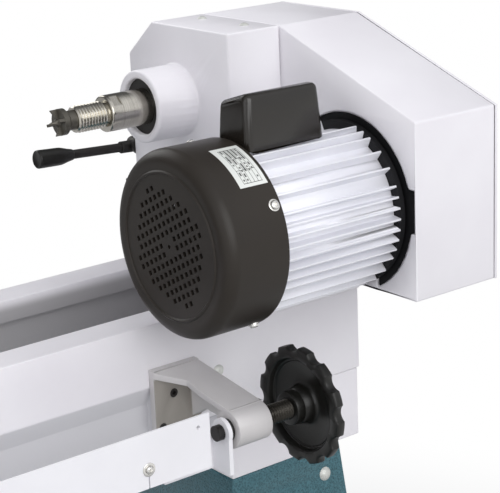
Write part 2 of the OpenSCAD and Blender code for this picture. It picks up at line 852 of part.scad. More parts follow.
module bracket_screw_pair() {
  for (p = bracket_screw_places) difference() {
    union() {
      ycyl(plate_y - 5, plate_y - 0.6, 4.2, p[0], p[1]);
      ycyl(rail_out, plate_y - 4, 2.5, p[0], p[1]);
    }
    ycyl(plate_y - 3, plate_y + 1, 2.2, p[0], p[1]);
  }
}
module bracket_screws() {
  color(black) {
    bracket_screw_pair();
    at_tail() bracket_screw_pair();
  }
}
ear_x = arm_x1 + 4;
ear_t = 4;
// Shoulder bolts that the rail's ears turn on
module rail_pivot() {
  xcyl(hinge_boss_x + 18, ear_x + ear_t + 1, pivot_r, hinge_y, hinge_z);
  ring(arm_x1, ear_x - near_gap, 10, pivot_r, hinge_y, hinge_z);
  xcyl(ear_x + ear_t + near_gap, ear_x + ear_t + 6, 7, hinge_y, hinge_z);
}
module rail_pivots() {
  color(black) {
    rail_pivot();
    at_tail() rail_pivot();
  }
}
// Folded sheet channel that holds the template, with an ear at each end
channel_y0 = hinge_y - 15;
channel_y1 = hinge_y + 15;
channel_top = hinge_z + 29;
channel_x0 = bed_mid - rail_len / 2;
channel_x1 = bed_mid + rail_len / 2;
screw_x0 = channel_x0 + 64;
screw_n = 5;
screw_pitch = (rail_len - 128) / (screw_n - 1);
module rail_ear() {
  low = hinge_z - 37.5;
  difference() {
    union() {
      xcyl(ear_x, ear_x + ear_t, 12, hinge_y, hinge_z);
      block(ear_x, ear_x + ear_t, hinge_y - 18, hinge_y + 11, low, hinge_z - 10);
      block(ear_x, ear_x + ear_t, hinge_y - 12, hinge_y + 11, hinge_z - 12, hinge_z);
    }
    xcyl(ear_x - 1, ear_x + 10, pivot_r + run_gap, hinge_y, hinge_z);
  }
  block(ear_x, channel_x0 + 30, channel_y0, channel_y0 + sheet_t, low,
    channel_top - rail_wall_h + 18);
}
module template_rail() {
  floor_z = channel_top - rail_wall_h;
  color(white) {
    difference() {
      union() {
        block(channel_x0, channel_x1, channel_y1 - sheet_t, channel_y1, floor_z, channel_top);
        block(channel_x0, channel_x1, channel_y0, channel_y1, floor_z, floor_z + sheet_t);
        block(channel_x0, channel_x1, channel_y0, channel_y0 + sheet_t, floor_z, floor_z + 18);
      }
      for (i = [0 : screw_n - 1]) {
        x = screw_x0 + i * screw_pitch;
        block(x - 0.6, x + 0.6, channel_y1 - 5, channel_y1 + 5, floor_z - 1, floor_z + 15);
        ycyl(channel_y1 - 5, channel_y1 + 5, 2.6, x, floor_z + 17);
      }
      for (x = [channel_x0 + 12, channel_x1 - 12])
        ycyl(channel_y1 - 5, channel_y1 + 5, 1.8, x, channel_top - 10);
    }
    rail_ear();
    at_tail() rail_ear();
  }
}
// Washer screws in the rail's slots
module template_screws() {
  floor_z = channel_top - rail_wall_h;
  color(steel) for (i = [0 : screw_n - 1])
    translate([screw_x0 + i * screw_pitch, channel_y1, floor_z + 17]) rotate([-90, 0, 0]) {
      translate([0, 0, -sheet_t - 4]) cylinder(r = 2.5, h = sheet_t + 4.1);
      cylinder(r = 6, h = 1);
      translate([0, 0, 1]) dome_head(3.6, 2.4);
    }
}

// Star knobs that clamp the template rail
star_x1 = hinge_boss_x - 41;
star_x0 = star_x1 - star_t;
module star_knob() {
  difference() {
    x_turned(hinge_y, hinge_z) polygon([
      [0, star_x0], [star_r - 5, star_x0], [star_r, star_x0 + 3], [star_r, star_x1 - 2],
      [star_r - 2, star_x1], [star_r - 11, star_x1], [star_r - 14, star_x0 + 7],
      [20, star_x0 + 5], [16, star_x0 + 7], [16, star_x1 + 9], [14.5, star_x1 + 11],
      [0, star_x1 + 11]]);
    translate([0, hinge_y, hinge_z]) for (i = [0 : lobes - 1])
      rotate([i * 360 / lobes + 8, 0, 0]) xcyl(star_x0 - 1, star_x1 + 1, 9, 0, star_r + 5.2);
    xcyl(star_x0 + 4, star_x1 + 12, stud_r, hinge_y, hinge_z);
  }
}
stud_pitch = 2.5;
module knob_stud() {
  free_l = hinge_boss_x - star_x1 - 11;
  crests = floor((free_l - 0.5) / stud_pitch);
  x_turned(hinge_y, hinge_z) polygon(concat(
    [[0, star_x0 + 4], [stud_r, star_x0 + 4], [stud_r, star_x1 + 11]],
    [for (i = [0 : crests - 1], s = [0, 1])
      [stud_r - (s == 0 ? 0 : 1.2), star_x1 + 11.2 + (i + s / 2) * stud_pitch]],
    [[stud_r, hinge_boss_x], [stud_r, hinge_boss_x + 15], [0, hinge_boss_x + 15]]
  ));
}
module head_star_knob() {
  color(black) star_knob();
}
module head_knob_stud() {
  color([0.25, 0.25, 0.25]) knob_stud();
}
module tail_star_knob() {
  color(black) at_tail() star_knob();
}
module tail_knob_stud() {
  color([0.25, 0.25, 0.25]) at_tail() knob_stud();
}

// Plate that a clamp bolt draws up under the rails' lips
module clamp_plate(x, half_l) {
  half = rail_in + lip_in - 1.5;
  block(x - half_l, x + half_l, -half, half, bed_top - lip_h - 14, bed_top - lip_h - near_gap);
}

// Copying carriage
saddle_z = bed_top + near_gap;
saddle_top = saddle_z + saddle_t;
module carriage_saddle() {
  half = saddle_l / 2;
  guide = cross_w / 2;
  color(cast) difference() {
    union() {
      block(saddle_x - half, saddle_x + half, -rail_out - 20, rail_out, saddle_z,
        saddle_top - 8);
      block(saddle_x - guide - 26, saddle_x + guide + 26, -rail_out - 20, rail_out,
        saddle_top - 9, saddle_top);
      block(saddle_x - half, saddle_x + half, -rail_out - 20, -rail_out - near_gap,
        bed_top - 40, saddle_z + 2);
      zcyl(bed_top - 3, saddle_z + 2, 18, saddle_x, 0);
    }
    xz_prism(-rail_out - 21, rail_out + 1) polygon([
      [saddle_x - guide + 8, saddle_top + 1], [saddle_x - guide - 0.4, saddle_top - 10],
      [saddle_x + guide + 0.4, saddle_top - 10], [saddle_x + guide - 8, saddle_top + 1]]);
    zcyl(bed_top - 20, saddle_top, 6 + run_gap, saddle_x, 0);
  }
}
// Plate under the rails, drawn up by a bolt through the saddle
module carriage_clamp() {
  color(steel) {
    clamp_plate(saddle_x, 50);
    zcyl(bed_top - lip_h - 14, saddle_top - 10.5, 6, saddle_x, 0);
  }
}
cross_z = saddle_top - 10 + near_gap;
cross_top = cross_z + cross_t;
cross_front = -185;
cross_rear = 118;
module cross_slide() {
  guide = cross_w / 2;
  color(cast) difference() {
    xz_prism(cross_front, cross_rear) polygon([
      [saddle_x - guide + 0.2, cross_z], [saddle_x - guide + 8.6, cross_z + 11.2],
      [saddle_x - guide - 4, cross_z + 11.2], [saddle_x - guide - 4, cross_top],
      [saddle_x + guide + 4, cross_top], [saddle_x + guide + 4, cross_z + 11.2],
      [saddle_x + guide - 8.6, cross_z + 11.2], [saddle_x + guide - 0.2, cross_z]]);
    block(saddle_x - 6, saddle_x + 6, cross_front + 20, cross_front + 90, cross_top - 6,
      cross_top + 1);
  }
}
// Upright post on the slide, with the cutter's square seat at spindle height
post_y = -150;
module tool_post() {
  color(cast) difference() {
    union() {
      block(saddle_x - 30, saddle_x + 30, post_y - 22, post_y + 22, cross_top,
        cross_top + 16);
      block(saddle_x - 17, saddle_x + 17, post_y - 17, post_y + 17, cross_top + 15, 22);
    }
    block(saddle_x - 6, saddle_x + 6, post_y - 30, post_y + 30, -6, 6);
  }
  color(black) for (y = [-8, 8]) zcyl(6, 32, 4, saddle_x, post_y + y);
}
module cutter() {
  color(steel) translate([0, 0, -6]) linear_extrude(12) polygon([
    [saddle_x - 6, post_y - 26], [saddle_x + 6, post_y - 26], [saddle_x + 6, post_y + 74],
    [saddle_x, post_y + 92], [saddle_x - 6, post_y + 74]]);
}
// Arm at the slide's rear end, with the follower finger that feels the template
finger_y = hinge_y - 34;
module follower_arm() {
  color(steel) {
    block(saddle_x - 14, saddle_x + 14, cross_rear - 30, finger_y + 12, cross_top,
      cross_top + 14);
    zcyl(channel_top + 20, cross_top + 30, 6, saddle_x, finger_y);
    translate([saddle_x, finger_y, 0]) rotate_extrude() polygon([
      [0, channel_top + 8], [2.5, channel_top + 8.6], [4, channel_top + 12],
      [6, channel_top + 21], [0, channel_top + 21]]);
    zcyl(cross_top + 13, cross_top + 24, 10, saddle_x, finger_y);
  }
}
// Two-handed grip on the slide's front end
module carriage_handle() {
  z = (cross_z + cross_top) / 2 + 2;
  color(black) {
    ycyl(-handle_reach + 12, cross_front, 7, saddle_x, z);
    xcyl(saddle_x - 70, saddle_x + 70, 12, 12 - handle_reach, z);
    for (s = [-1, 1]) translate([saddle_x + s * 70, 12 - handle_reach, z])
      sphere(r = 12, $fn = 40);
  }
}

// Tailstock
module tailstock_body() {
  w = 52;
  color(white) difference() {
    union() {
      yz_prism(tail_x, tail_x + tail_l) polygon([
        [-rail_out, bed_top + near_gap], [rail_out, bed_top + near_gap],
        [rail_out, bed_top + 22], [w, bed_top + 34], [36, -30], [36, 20], [24, 38],
        [-24, 38], [-36, 20], [-36, -30], [-w, bed_top + 34], [-rail_out, bed_top + 22]]);
      block(tail_x + 10, tail_x + tail_l - 10, -rail_in + near_gap, rail_in - near_gap,
        bed_top - 12, bed_top + 2);
    }
    yz_prism(tail_x + 12, tail_x + tail_l - 12) polygon([
      [-rail_out + 14, bed_top + 10], [rail_out - 14, bed_top + 10], [w - 14, bed_top + 30],
      [26, -34], [-26, -34], [14 - w, bed_top + 30]]);
    xcyl(tail_x - 1, tail_x + tail_l + 1, quill_r + run_gap);
    zcyl(14, 40, 4 + run_gap, tail_x + 30);
    zcyl(bed_top - 20, bed_top + 12, 7, tail_x + tail_l / 2);
    ycyl(-70, -20, 7 + run_gap, lock_x, lock_z);
  }
}
// Eccentric clamp: a plate under the rails, its bolt and a side lever
module tailstock_clamp() {
  mid = tail_x + tail_l / 2;
  color(steel) {
    clamp_plate(mid, 40);
    zcyl(bed_top - lip_h - 14, bed_top + 24, 6, mid, 0);
    zcyl(bed_top + 12, bed_top + 24, 12, mid, 0);
  }
}
// Side lever whose eccentric draws the clamp up
lock_x = tail_x + tail_l / 2 + 26;
lock_z = bed_top + 56;
module tailstock_lever() {
  color(black) {
    ycyl(-78, -34, 7, lock_x, lock_z);
    ycyl(-80, -62, 13, lock_x, lock_z);
    translate([lock_x, -71, lock_z]) rotate([0, 25, 0]) {
      cylinder(r = 5, h = 95);
      translate([0, 0, 100]) sphere(r = 11, $fn = 40);
    }
  }
}
module tailstock_quill() {
  color(steel) difference() {
    xcyl(tail_x - 60, tail_x + tail_l - 15, quill_r);
    xcyl(tail_x - 61, tail_x - 10, 9 + run_gap);
    xcyl(tail_x + 20, tail_x + tail_l, 8 + run_gap);
    block(tail_x - 10, tail_x + 90, -2.5, 2.5, quill_r - 2.5, quill_r + 1);
  }
}
module live_centre() {
  color(steel) {
    x_turned() polygon([[0, tail_x - 96], [9, tail_x - 82], [11, tail_x - 81],
      [14, tail_x - 78], [14, tail_x - 60 - near_gap], [9, tail_x - 60 - near_gap],
      [9, tail_x - 12], [0, tail_x - 12]]);
  }
}
wheel_x = tail_x + tail_l + near_gap;
module tail_handwheel() {
  color(cast) {
    x_turned() polygon([
      [0, wheel_x], [20, wheel_x], [20, wheel_x + 14], [wheel_r - 14, wheel_x + 12],
      [wheel_r - 10, wheel_x + 6], [wheel_r, wheel_x + 8], [wheel_r + 2, wheel_x + 14],
      [wheel_r, wheel_x + 20], [wheel_r - 10, wheel_x + 22], [wheel_r - 14, wheel_x + 18],
      [20, wheel_x + 20], [16, wheel_x + 30], [0, wheel_x + 30]]);
    xcyl(tail_x + 24, wheel_x + 1, 8);
    xcyl(tail_x + tail_l - 12, wheel_x + 1, quill_r);
    xcyl(wheel_x + 20, wheel_x + 70, 4, 0, wheel_r - 12);
    xcyl(wheel_x + 70, wheel_x + 72, 6, 0, wheel_r - 12);
  }
}
module handwheel_grip() {
  color(black) x_turned(0, wheel_r - 12) polygon([
    [4 + run_gap, wheel_x + 24], [7, wheel_x + 24], [10, wheel_x + 34], [10.5, wheel_x + 54],
    [8, wheel_x + 68], [4 + run_gap, wheel_x + 69]]);
}
module quill_lock() {
  color(black) {
    zcyl(quill_r + near_gap, 44, 4, tail_x + 30);
    zcyl(38 + near_gap, 50, 9, tail_x + 30);
    translate([tail_x + 30, 0, 46]) rotate([60, 0, 0]) {
      cylinder(r = 4, h = 46);
      translate([0, 0, 50]) sphere(r = 8, $fn = 40);
    }
  }
}

// Stand
module leg_solid(in) {
  x0 = -leg_far;
  y0 = rail_out;
  hull() {
    block(x0 + in, x0 + leg_top_l - in, in - y0, y0 - in, block_bottom - 1, block_bottom);
    block(x0 + in - leg_spread_x, x0 + leg_top_l - in + leg_spread_x,
      in - y0 - leg_spread_y, y0 + leg_spread_y - in, leg_bottom, leg_bottom + 1);
  }
}
module leg() {
  difference() {
    union() {
      difference() {
        leg_solid(0);
        difference() {
          leg_solid(leg_t);
          block(-500, 500, -500, 500, block_bottom - leg_t, block_bottom + 10);
        }
        block(-leg_far - leg_spread_x - 5, leg_near + leg_spread_x + 5,
          -foot_window, foot_window, leg_bottom - 1, leg_bottom + 70);
      }
      for (p = foot_places) translate([p[0], p[1], leg_bottom])
        block(-foot_in + 1, foot_in - 1, -foot_in + 1, foot_in - 1, 0, foot_plate_t);
    }
    for (p = foot_places) zcyl(leg_bottom - 1, leg_bottom + 10, 6 + run_gap, p[0], p[1]);
    at_stand_bolts() translate([0, 0, -6]) cylinder(r = 4 + run_gap, h = 8);
  }
}
// Middles of the four foot plates of a leg
foot_in = 22;
foot_plate_t = 5;
foot_places = [for (x = [foot_in - leg_far - leg_spread_x, leg_near + leg_spread_x - foot_in],
  s = [-1, 1]) [x, s * (rail_out + leg_spread_y - foot_in)]];
foot_window = rail_out - 10;
module head_leg() {
  color(teal) leg();
}
module tail_leg() {
  color(teal) at_tail() leg();
}
// Shelf board between the legs
shelf_h = 220;
shelf_t = 20;
module stand_shelf() {
  z = leg_bottom + shelf_h;
  grow = (leg_h - shelf_h - shelf_t) / leg_h;
  x0 = leg_near + leg_spread_x * (leg_h - shelf_h) / leg_h + near_gap;
  half = rail_out + leg_spread_y * grow - 12;
  color(teal) {
    block(x0, tail_side - x0, -half, half, z, z + shelf_t);
    shelf_bracket(x0, z);
    at_tail() shelf_bracket(x0, z);
  }
}
// Angle under the end of the shelf that lies against the leg
module shelf_bracket(x, z) {
  drop = 36;
  t = 3;
  low = x + leg_spread_x * drop / leg_h;
  xz_prism(-60, 60) polygon([[x, z], [x + 30, z], [x + 30, z - t], [x + t + 0.2, z - t],
    [low + t, z - drop], [low, z - drop]]);
}
bolt_x = -85;
bolt_drop = 28;
// Places on a leg's flanks, square to the sheet
module at_stand_bolts() {
  tilt = atan(leg_spread_y / leg_h);
  for (s = [-1, 1], x = [bolt_x, bolt_x + 90])
    translate([x, s * (rail_out + leg_spread_y * bolt_drop / leg_h), block_bottom - bolt_drop])
      rotate([s * (tilt - 90), 0, 0]) children();
}
module stand_bolt_set() {
  at_stand_bolts() {
    translate([0, 0, -5]) cylinder(r = 4, h = 5.5);
    dome_head(7, 3.6);
  }
  for (s = [-1, 1]) translate([38, s * rail_out, bed_bottom + 43]) rotate([-s * 90, 0, 0])
    dome_head(6, 3.4);
}
module stand_bolts() {
  color("silver") {
    stand_bolt_set();
    at_tail() stand_bolt_set();
  }
}
module foot_set() {
  for (p = foot_places) {
    zcyl(leg_bottom - foot_h, leg_bottom - foot_h + 10, 20, p[0], p[1]);
    zcyl(leg_bottom - foot_h + 9, leg_bottom + 24, 6, p[0], p[1]);
    zcyl(leg_bottom - 8, leg_bottom, 11, p[0], p[1]);
  }
}
module levelling_feet() {
  color([0.2, 0.2, 0.2]) {
    foot_set();
    at_tail() foot_set();
  }
}

// Stands the machine on the floor, centred over the origin
module place() {
  translate([-frame_x, -frame_y, axis_h]) children();
}
place() front_rail();
place() rear_rail();
place() bed_ties();
place() head_base_block();
place() tail_base_block();
place() headstock_housing();
place() spindle_bearings();
place() bearing_cap();
place() belt_cover();
place() belt_door();
place() cover_screws();
place() spindle();
place() spindle_pulley();
place() drive_centre();
place() drive_belt();
place() motor_housing();
place() motor_flange();
place() motor_stator();
place() motor_rotor();
place() motor_pulley();
place() motor_bearings();
place() motor_fan();
place() fan_cowl();
place() cowl_screws();
place() capacitor_box();
place() tension_lever();
place() tension_lever_grip();
place() switch_box();
place() start_button();
place() stop_button();
place() head_bracket();
place() tail_bracket();
place() bracket_screws();
place() rail_pivots();
place() template_rail();
place() template_screws();
place() head_star_knob();
place() head_knob_stud();
place() tail_star_knob();
place() tail_knob_stud();
place() carriage_saddle();
place() carriage_clamp();
place() cross_slide();
place() tool_post();
place() cutter();
place() follower_arm();
place() carriage_handle();
place() tailstock_body();
place() tailstock_clamp();
place() tailstock_lever();
place() tailstock_quill();
place() live_centre();
place() tail_handwheel();
place() handwheel_grip();
place() quill_lock();
place() head_leg();
place() tail_leg();
place() stand_shelf();
place() stand_bolts();
place() levelling_feet();
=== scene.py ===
# %% [markdown]
# # A duplicating lathe, dressed in Blender
# The construction of the lathe comes from a imported CAD model. It gives every piece its size,
# its place and the body that it moves with. This lesson gives the pieces their finish, and it
# models again the few whose soft edges the CAD model leaves plain.
# The first cell loads that model.

# %% Load the construction
import json
import math

import bmesh
import bpy
from mathutils import Matrix, Vector


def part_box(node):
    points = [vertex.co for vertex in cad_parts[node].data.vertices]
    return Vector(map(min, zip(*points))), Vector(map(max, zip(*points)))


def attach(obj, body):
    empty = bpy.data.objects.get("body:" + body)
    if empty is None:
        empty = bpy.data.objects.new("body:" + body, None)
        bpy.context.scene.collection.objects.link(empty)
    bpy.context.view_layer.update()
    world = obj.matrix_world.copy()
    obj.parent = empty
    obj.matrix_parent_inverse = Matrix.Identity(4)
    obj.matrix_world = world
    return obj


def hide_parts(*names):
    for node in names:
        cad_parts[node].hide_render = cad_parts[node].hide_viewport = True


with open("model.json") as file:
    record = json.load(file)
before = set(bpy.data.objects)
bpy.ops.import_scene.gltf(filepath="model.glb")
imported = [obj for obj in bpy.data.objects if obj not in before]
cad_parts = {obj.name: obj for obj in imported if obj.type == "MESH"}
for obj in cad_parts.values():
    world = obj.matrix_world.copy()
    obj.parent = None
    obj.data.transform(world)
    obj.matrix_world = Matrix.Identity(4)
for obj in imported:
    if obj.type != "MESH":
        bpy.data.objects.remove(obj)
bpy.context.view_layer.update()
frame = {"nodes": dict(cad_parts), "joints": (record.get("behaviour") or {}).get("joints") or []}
print("pieces in the construction:", len(frame["nodes"]))

# %% [markdown]
# A lathe is laid out from its spindle. So lengths here are millimetres from the point where the
# spindle axis leaves the headstock: X runs to the tailstock, Y to the template rail's side, and Z
# up. The spindle's own joint says where that point is, and `at` turns such a place into metres.

# %% Measure from the spindle
MM = 0.001


def joint(name):
    return next(j for j in frame["joints"] if j["name"] == name)


SPINDLE = Vector(joint("spindle_spin")["pos_m"])
MOTOR = (Vector(joint("motor_spin")["pos_m"]) - SPINDLE) / MM
HINGE = (Vector(joint("template_rail_tilt")["pos_m"]) - SPINDLE) / MM


def at(x, y, z):
    return SPINDLE + Vector((x, y, z)) * MM


def corners(node):
    low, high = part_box(node)
    return (low - SPINDLE) / MM, (high - SPINDLE) / MM


print("motor axis from the spindle axis:", [round(v, 1) for v in MOTOR])

# %% [markdown]
# The camera stands behind the lathe on the tailstock's side and looks back at the motor. Its place,
# its angles and its lens were worked out once from straight edges of the headstock, and
# they are written as plain numbers, so every picture has the same view.

# %% Place the camera
CAMERA_AT = (862.7, 1222.4, 298.7)
CAMERA_YAW = math.radians(37.6)
CAMERA_PITCH = math.radians(16.62)
CAMERA_ROLL = math.radians(-2.47)
FOCAL_MM = 115.74


def look_axes(yaw, pitch, roll):
    flat = math.cos(pitch)
    forward = Vector((-math.sin(yaw) * flat, -math.cos(yaw) * flat, -math.sin(pitch)))
    side = Vector((-math.cos(yaw), math.sin(yaw), 0))
    up = side.cross(forward)
    right = side * math.cos(roll) + up * math.sin(roll)
    above = up * math.cos(roll) - side * math.sin(roll)
    return right, above, -forward


lens = bpy.data.cameras.new("camera")
lens.lens = FOCAL_MM
lens.sensor_width = 36
lens.clip_start = 0.05
lens.clip_end = 60
camera = bpy.data.objects.new("camera", lens)
bpy.context.scene.collection.objects.link(camera)
turn = Matrix(look_axes(CAMERA_YAW, CAMERA_PITCH, CAMERA_ROLL)).transposed().to_4x4()
camera.matrix_world = Matrix.Translation(at(*CAMERA_AT)) @ turn
bpy.context.scene.camera = camera
print("camera stands at", [round(v, 3) for v in camera.location])

# %% [markdown]
# Finishes are shader nodes. Two small helpers keep the later cells short: one adds a node with
# its values, and one makes a colour from the numbers that a paint chart would give.

# %% Helpers for shader nodes


def paint(red, green, blue):
    def linear(part):
        part = part / 255
        return part / 12.92 if part <= 0.04045 else ((part + 0.055) / 1.055) ** 2.4

    return (linear(red), linear(green), linear(blue), 1)


def add(tree, kind, values=None, **settings):
    made = tree.nodes.new("ShaderNode" + kind)
    for name, value in settings.items():
        setattr(made, name, value)
    for name, value in (values or {}).items():
        made.inputs[name].default_value = value
    return made


def new_group(name, inputs, outputs):
    tree = bpy.data.node_groups.new(name, "ShaderNodeTree")
    for label, value in inputs.items():
        made = tree.interface.new_socket(label, in_out="INPUT", socket_type="NodeSocketFloat")
        made.default_value = value
    for label in outputs:
        tree.interface.new_socket(label, in_out="OUTPUT", socket_type="NodeSocketFloat")
    return tree, tree.nodes.new("NodeGroupInput"), tree.nodes.new("NodeGroupOutput")


print("colour of white enamel:", [round(v, 3) for v in paint(233, 231, 235)])

# %% [markdown]
# Every finish has a fine grain that catches light, and a slow mottle that keeps a large panel
# from looking like plastic film. Both are noise at different scales, so they make one group.
# Scale is in grains per metre, because the pieces are in metres.

# %% Group: grain and mottle


def make_grain():
    tree, start, end = new_group("grain", {"Scale": 900, "Mottle Scale": 9}, ("Height", "Shade"))
    place = add(tree, "TexCoord")
    fine = add(tree, "TexNoise", {"Detail": 3, "Roughness": 0.6})
    slow = add(tree, "TexNoise", {"Detail": 4, "Roughness": 0.55})
    for noise, label in ((fine, "Scale"), (slow, "Mottle Scale")):
        tree.links.new(place.outputs["Object"], noise.inputs["Vector"])
        tree.links.new(start.outputs[label], noise.inputs["Scale"])
    tree.links.new(fine.outputs["Fac"], end.inputs["Height"])
    tree.links.new(slow.outputs["Fac"], end.inputs["Shade"])
    return tree


GRAIN = make_grain()
print("group:", GRAIN.name)

# %% [markdown]
# A turned or ground piece carries fine lines square to its axis. Nearly all such pieces here
# turn about X, so noise that is squeezed along X and stretched across it draws those lines.

# %% Group: turning lines


def make_turning():
    tree, start, end = new_group("turning", {"Scale": 2600, "Across": 6}, ("Height", "Shade"))
    place = add(tree, "TexCoord")
    stretch = add(tree, "CombineXYZ")
    tree.links.new(start.outputs["Scale"], stretch.inputs["X"])
    tree.links.new(start.outputs["Across"], stretch.inputs["Y"])
    tree.links.new(start.outputs["Across"], stretch.inputs["Z"])
    scaled = add(tree, "VectorMath", operation="MULTIPLY")
    tree.links.new(place.outputs["Object"], scaled.inputs[0])
    tree.links.new(stretch.outputs["Vector"], scaled.inputs[1])
    lines = add(tree, "TexNoise", {"Scale": 1, "Detail": 2, "Roughness": 0.7})
    tree.links.new(scaled.outputs["Vector"], lines.inputs["Vector"])
    tree.links.new(lines.outputs["Fac"], end.inputs["Height"])
    tree.links.new(lines.outputs["Fac"], end.inputs["Shade"])
    return tree


TURNING = make_turning()
print("group:", TURNING.name)

# %% [markdown]
# Hammer enamel dries into a net of shallow cells, a millimetre or two wide. Voronoi cells give
# the net, and a little noise bends their borders so that no two look alike.

# %% Group: hammer enamel


def make_hammer():
    tree, start, end = new_group("hammer", {"Scale": 520}, ("Height", "Shade"))
    place = add(tree, "TexCoord")
    bend = add(tree, "TexNoise", {"Scale": 240, "Detail": 2})
    tree.links.new(place.outputs["Object"], bend.inputs["Vector"])
    shift = add(tree, "VectorMath", operation="MULTIPLY_ADD")
    shift.inputs[1].default_value = (0.003, 0.003, 0.003)
    tree.links.new(bend.outputs["Color"], shift.inputs[0])
    tree.links.new(place.outputs["Object"], shift.inputs[2])
    cells = add(tree, "TexVoronoi", feature="SMOOTH_F1")
    tree.links.new(shift.outputs["Vector"], cells.inputs["Vector"])
    tree.links.new(start.outputs["Scale"], cells.inputs["Scale"])
    tree.links.new(cells.outputs["Distance"], end.inputs["Height"])
    tree.links.new(cells.outputs["Distance"], end.inputs["Shade"])
    return tree


HAMMER = make_hammer()
print("group:", HAMMER.name)

# %% [markdown]
# One function builds a finish from these groups. Shade runs between two colours and two
# roughness values, and Height feeds a bump of a real depth in metres. What is the same all over
# a piece, such as how metallic it is, is set on the shader's own sockets.

# %% Build one finish


def finish(name, dark, light, rough, effect, scale, bump, strength=0.5, spread=(0.3, 0.7), **own):
    material = bpy.data.materials.new(name)
    material.use_nodes = True
    tree = material.node_tree
    shader = tree.nodes["Principled BSDF"]
    for label, value in own.items():
        shader.inputs[label.replace("_", " ")].default_value = value
    source = add(tree, "Group", node_tree=effect)
    source.inputs["Scale"].default_value = scale
    ramp = add(tree, "ValToRGB")
    ramp.color_ramp.elements[0].position = spread[0]
    ramp.color_ramp.elements[0].color = dark
    ramp.color_ramp.elements[1].position = spread[1]
    ramp.color_ramp.elements[1].color = light
    tree.links.new(source.outputs["Shade"], ramp.inputs["Fac"])
    tree.links.new(ramp.outputs["Color"], shader.inputs["Base Color"])
    sheen = add(tree, "MapRange", {"From Min": spread[0], "From Max": spread[1]})
    sheen.inputs["To Min"].default_value = rough[0]
    sheen.inputs["To Max"].default_value = rough[1]
    tree.links.new(source.outputs["Shade"], sheen.inputs["Value"])
    tree.links.new(sheen.outputs["Result"], shader.inputs["Roughness"])
    relief = add(tree, "Bump", {"Strength": strength, "Distance": bump})
    tree.links.new(source.outputs["Height"], relief.inputs["Height"])
    tree.links.new(relief.outputs["Normal"], shader.inputs["Normal"])
    print("finish:", name)
    return material


# %% [markdown]
# The paints come first. White enamel covers the headstock, the belt cover and the bed: a
# dielectric with a soft orange-peel bump. The stand's blue-green hammer enamel is glossier, with
# cells that stand out. The fan cowl is satin black on drawn sheet.

# %% Paints
WHITE_COAT = (paint(226, 223, 228), paint(233, 231, 235), (0.32, 0.42), GRAIN, 420, 0.00012)
enamel = finish("white_enamel", *WHITE_COAT, strength=0.35)
rail_enamel = finish("rail_enamel", paint(228, 227, 231), paint(236, 235, 239), (0.3, 0.4), GRAIN,
                     500, 0.0001, strength=0.3)
cowl_black = finish("cowl_black", paint(38, 34, 30), paint(46, 41, 36), (0.36, 0.46), GRAIN,
                    1400, 0.00008, strength=0.35, Specular_IOR_Level=0.25)
hammer = finish("teal_hammer", paint(34, 72, 80), paint(64, 106, 116), (0.26, 0.4), HAMMER,
                620, 0.0006, strength=0.5, spread=(0.15, 0.6), Specular_IOR_Level=0.4)
switch_grey = finish("switch_grey", paint(52, 53, 56), paint(62, 63, 66), (0.5, 0.6), GRAIN,
                     2200, 0.0001, strength=0.4)

# %% [markdown]
# The metals differ mostly in their marks. Sand-cast aluminium is grainy and dull, an extruded
# motor barrel is paler with a cool tint, ground steel shows its turning lines, and oxide black
# steel is dark but still metal. The spindle is polished, so its lines are very shallow.

# %% Metals
barrel_metal = finish("barrel_aluminium", paint(226, 226, 232), paint(240, 240, 245), (0.4, 0.52),
                      GRAIN, 1600, 0.00012, strength=0.5, Metallic=0.25)
SAND_CAST = (paint(196, 193, 193), paint(214, 211, 211), (0.46, 0.6), GRAIN, 1500, 0.0002)
cast_metal = finish("cast_aluminium", *SAND_CAST, strength=0.6, Metallic=0.2)
machined = finish("machined_iron", paint(128, 129, 132), paint(158, 159, 162), (0.3, 0.45), GRAIN,
                  800, 0.0001, strength=0.4, Metallic=0.85)
bare_steel = finish("turned_steel", paint(150, 148, 144), paint(192, 190, 186), (0.2, 0.36),
                    TURNING, 2600, 0.00008, strength=0.5, Metallic=1.0)
polished = finish("polished_steel", paint(170, 166, 156), paint(206, 202, 193), (0.16, 0.26),
                  TURNING, 2400, 0.00002, strength=0.25, Metallic=1.0)
stud_steel = finish("stud_steel", paint(50, 47, 42), paint(74, 71, 65), (0.26, 0.36), GRAIN,
                    1500, 0.00005, strength=0.3, Metallic=0.7)
spur_steel = finish("spur_steel", paint(84, 81, 74), paint(112, 109, 101), (0.36, 0.48), GRAIN,
                    1500, 0.00012, strength=0.5, Metallic=0.6)
flange_black = finish("flange_black", paint(17, 17, 19), paint(25, 25, 27), (0.55, 0.65), GRAIN,
                      1500, 0.0001, strength=0.4, Specular_IOR_Level=0.2)
plated = finish("plated_steel", paint(206, 204, 200), paint(226, 224, 220), (0.16, 0.24), GRAIN,
                1800, 0.00004, strength=0.3, Metallic=1.0)
satin = finish("satin_zinc", paint(196, 197, 192), paint(212, 213, 208), (0.42, 0.52), GRAIN,
               1800, 0.00004, strength=0.3, Metallic=0.35)
oxide = finish("oxide_black", paint(26, 24, 23), paint(44, 41, 39), (0.34, 0.5), GRAIN, 1500,
               0.0001, strength=0.5, Metallic=0.3)
winding = finish("varnished_winding", paint(110, 58, 30), paint(150, 84, 44), (0.35, 0.5), GRAIN,
                 1200, 0.0002, strength=0.6, Metallic=0.3)

# %% [markdown]
# Last come the plastics and the rubber. A moulded star knob is glossy and almost black, so what
# shows of it is mostly reflected light, and its grain has to stay very shallow.

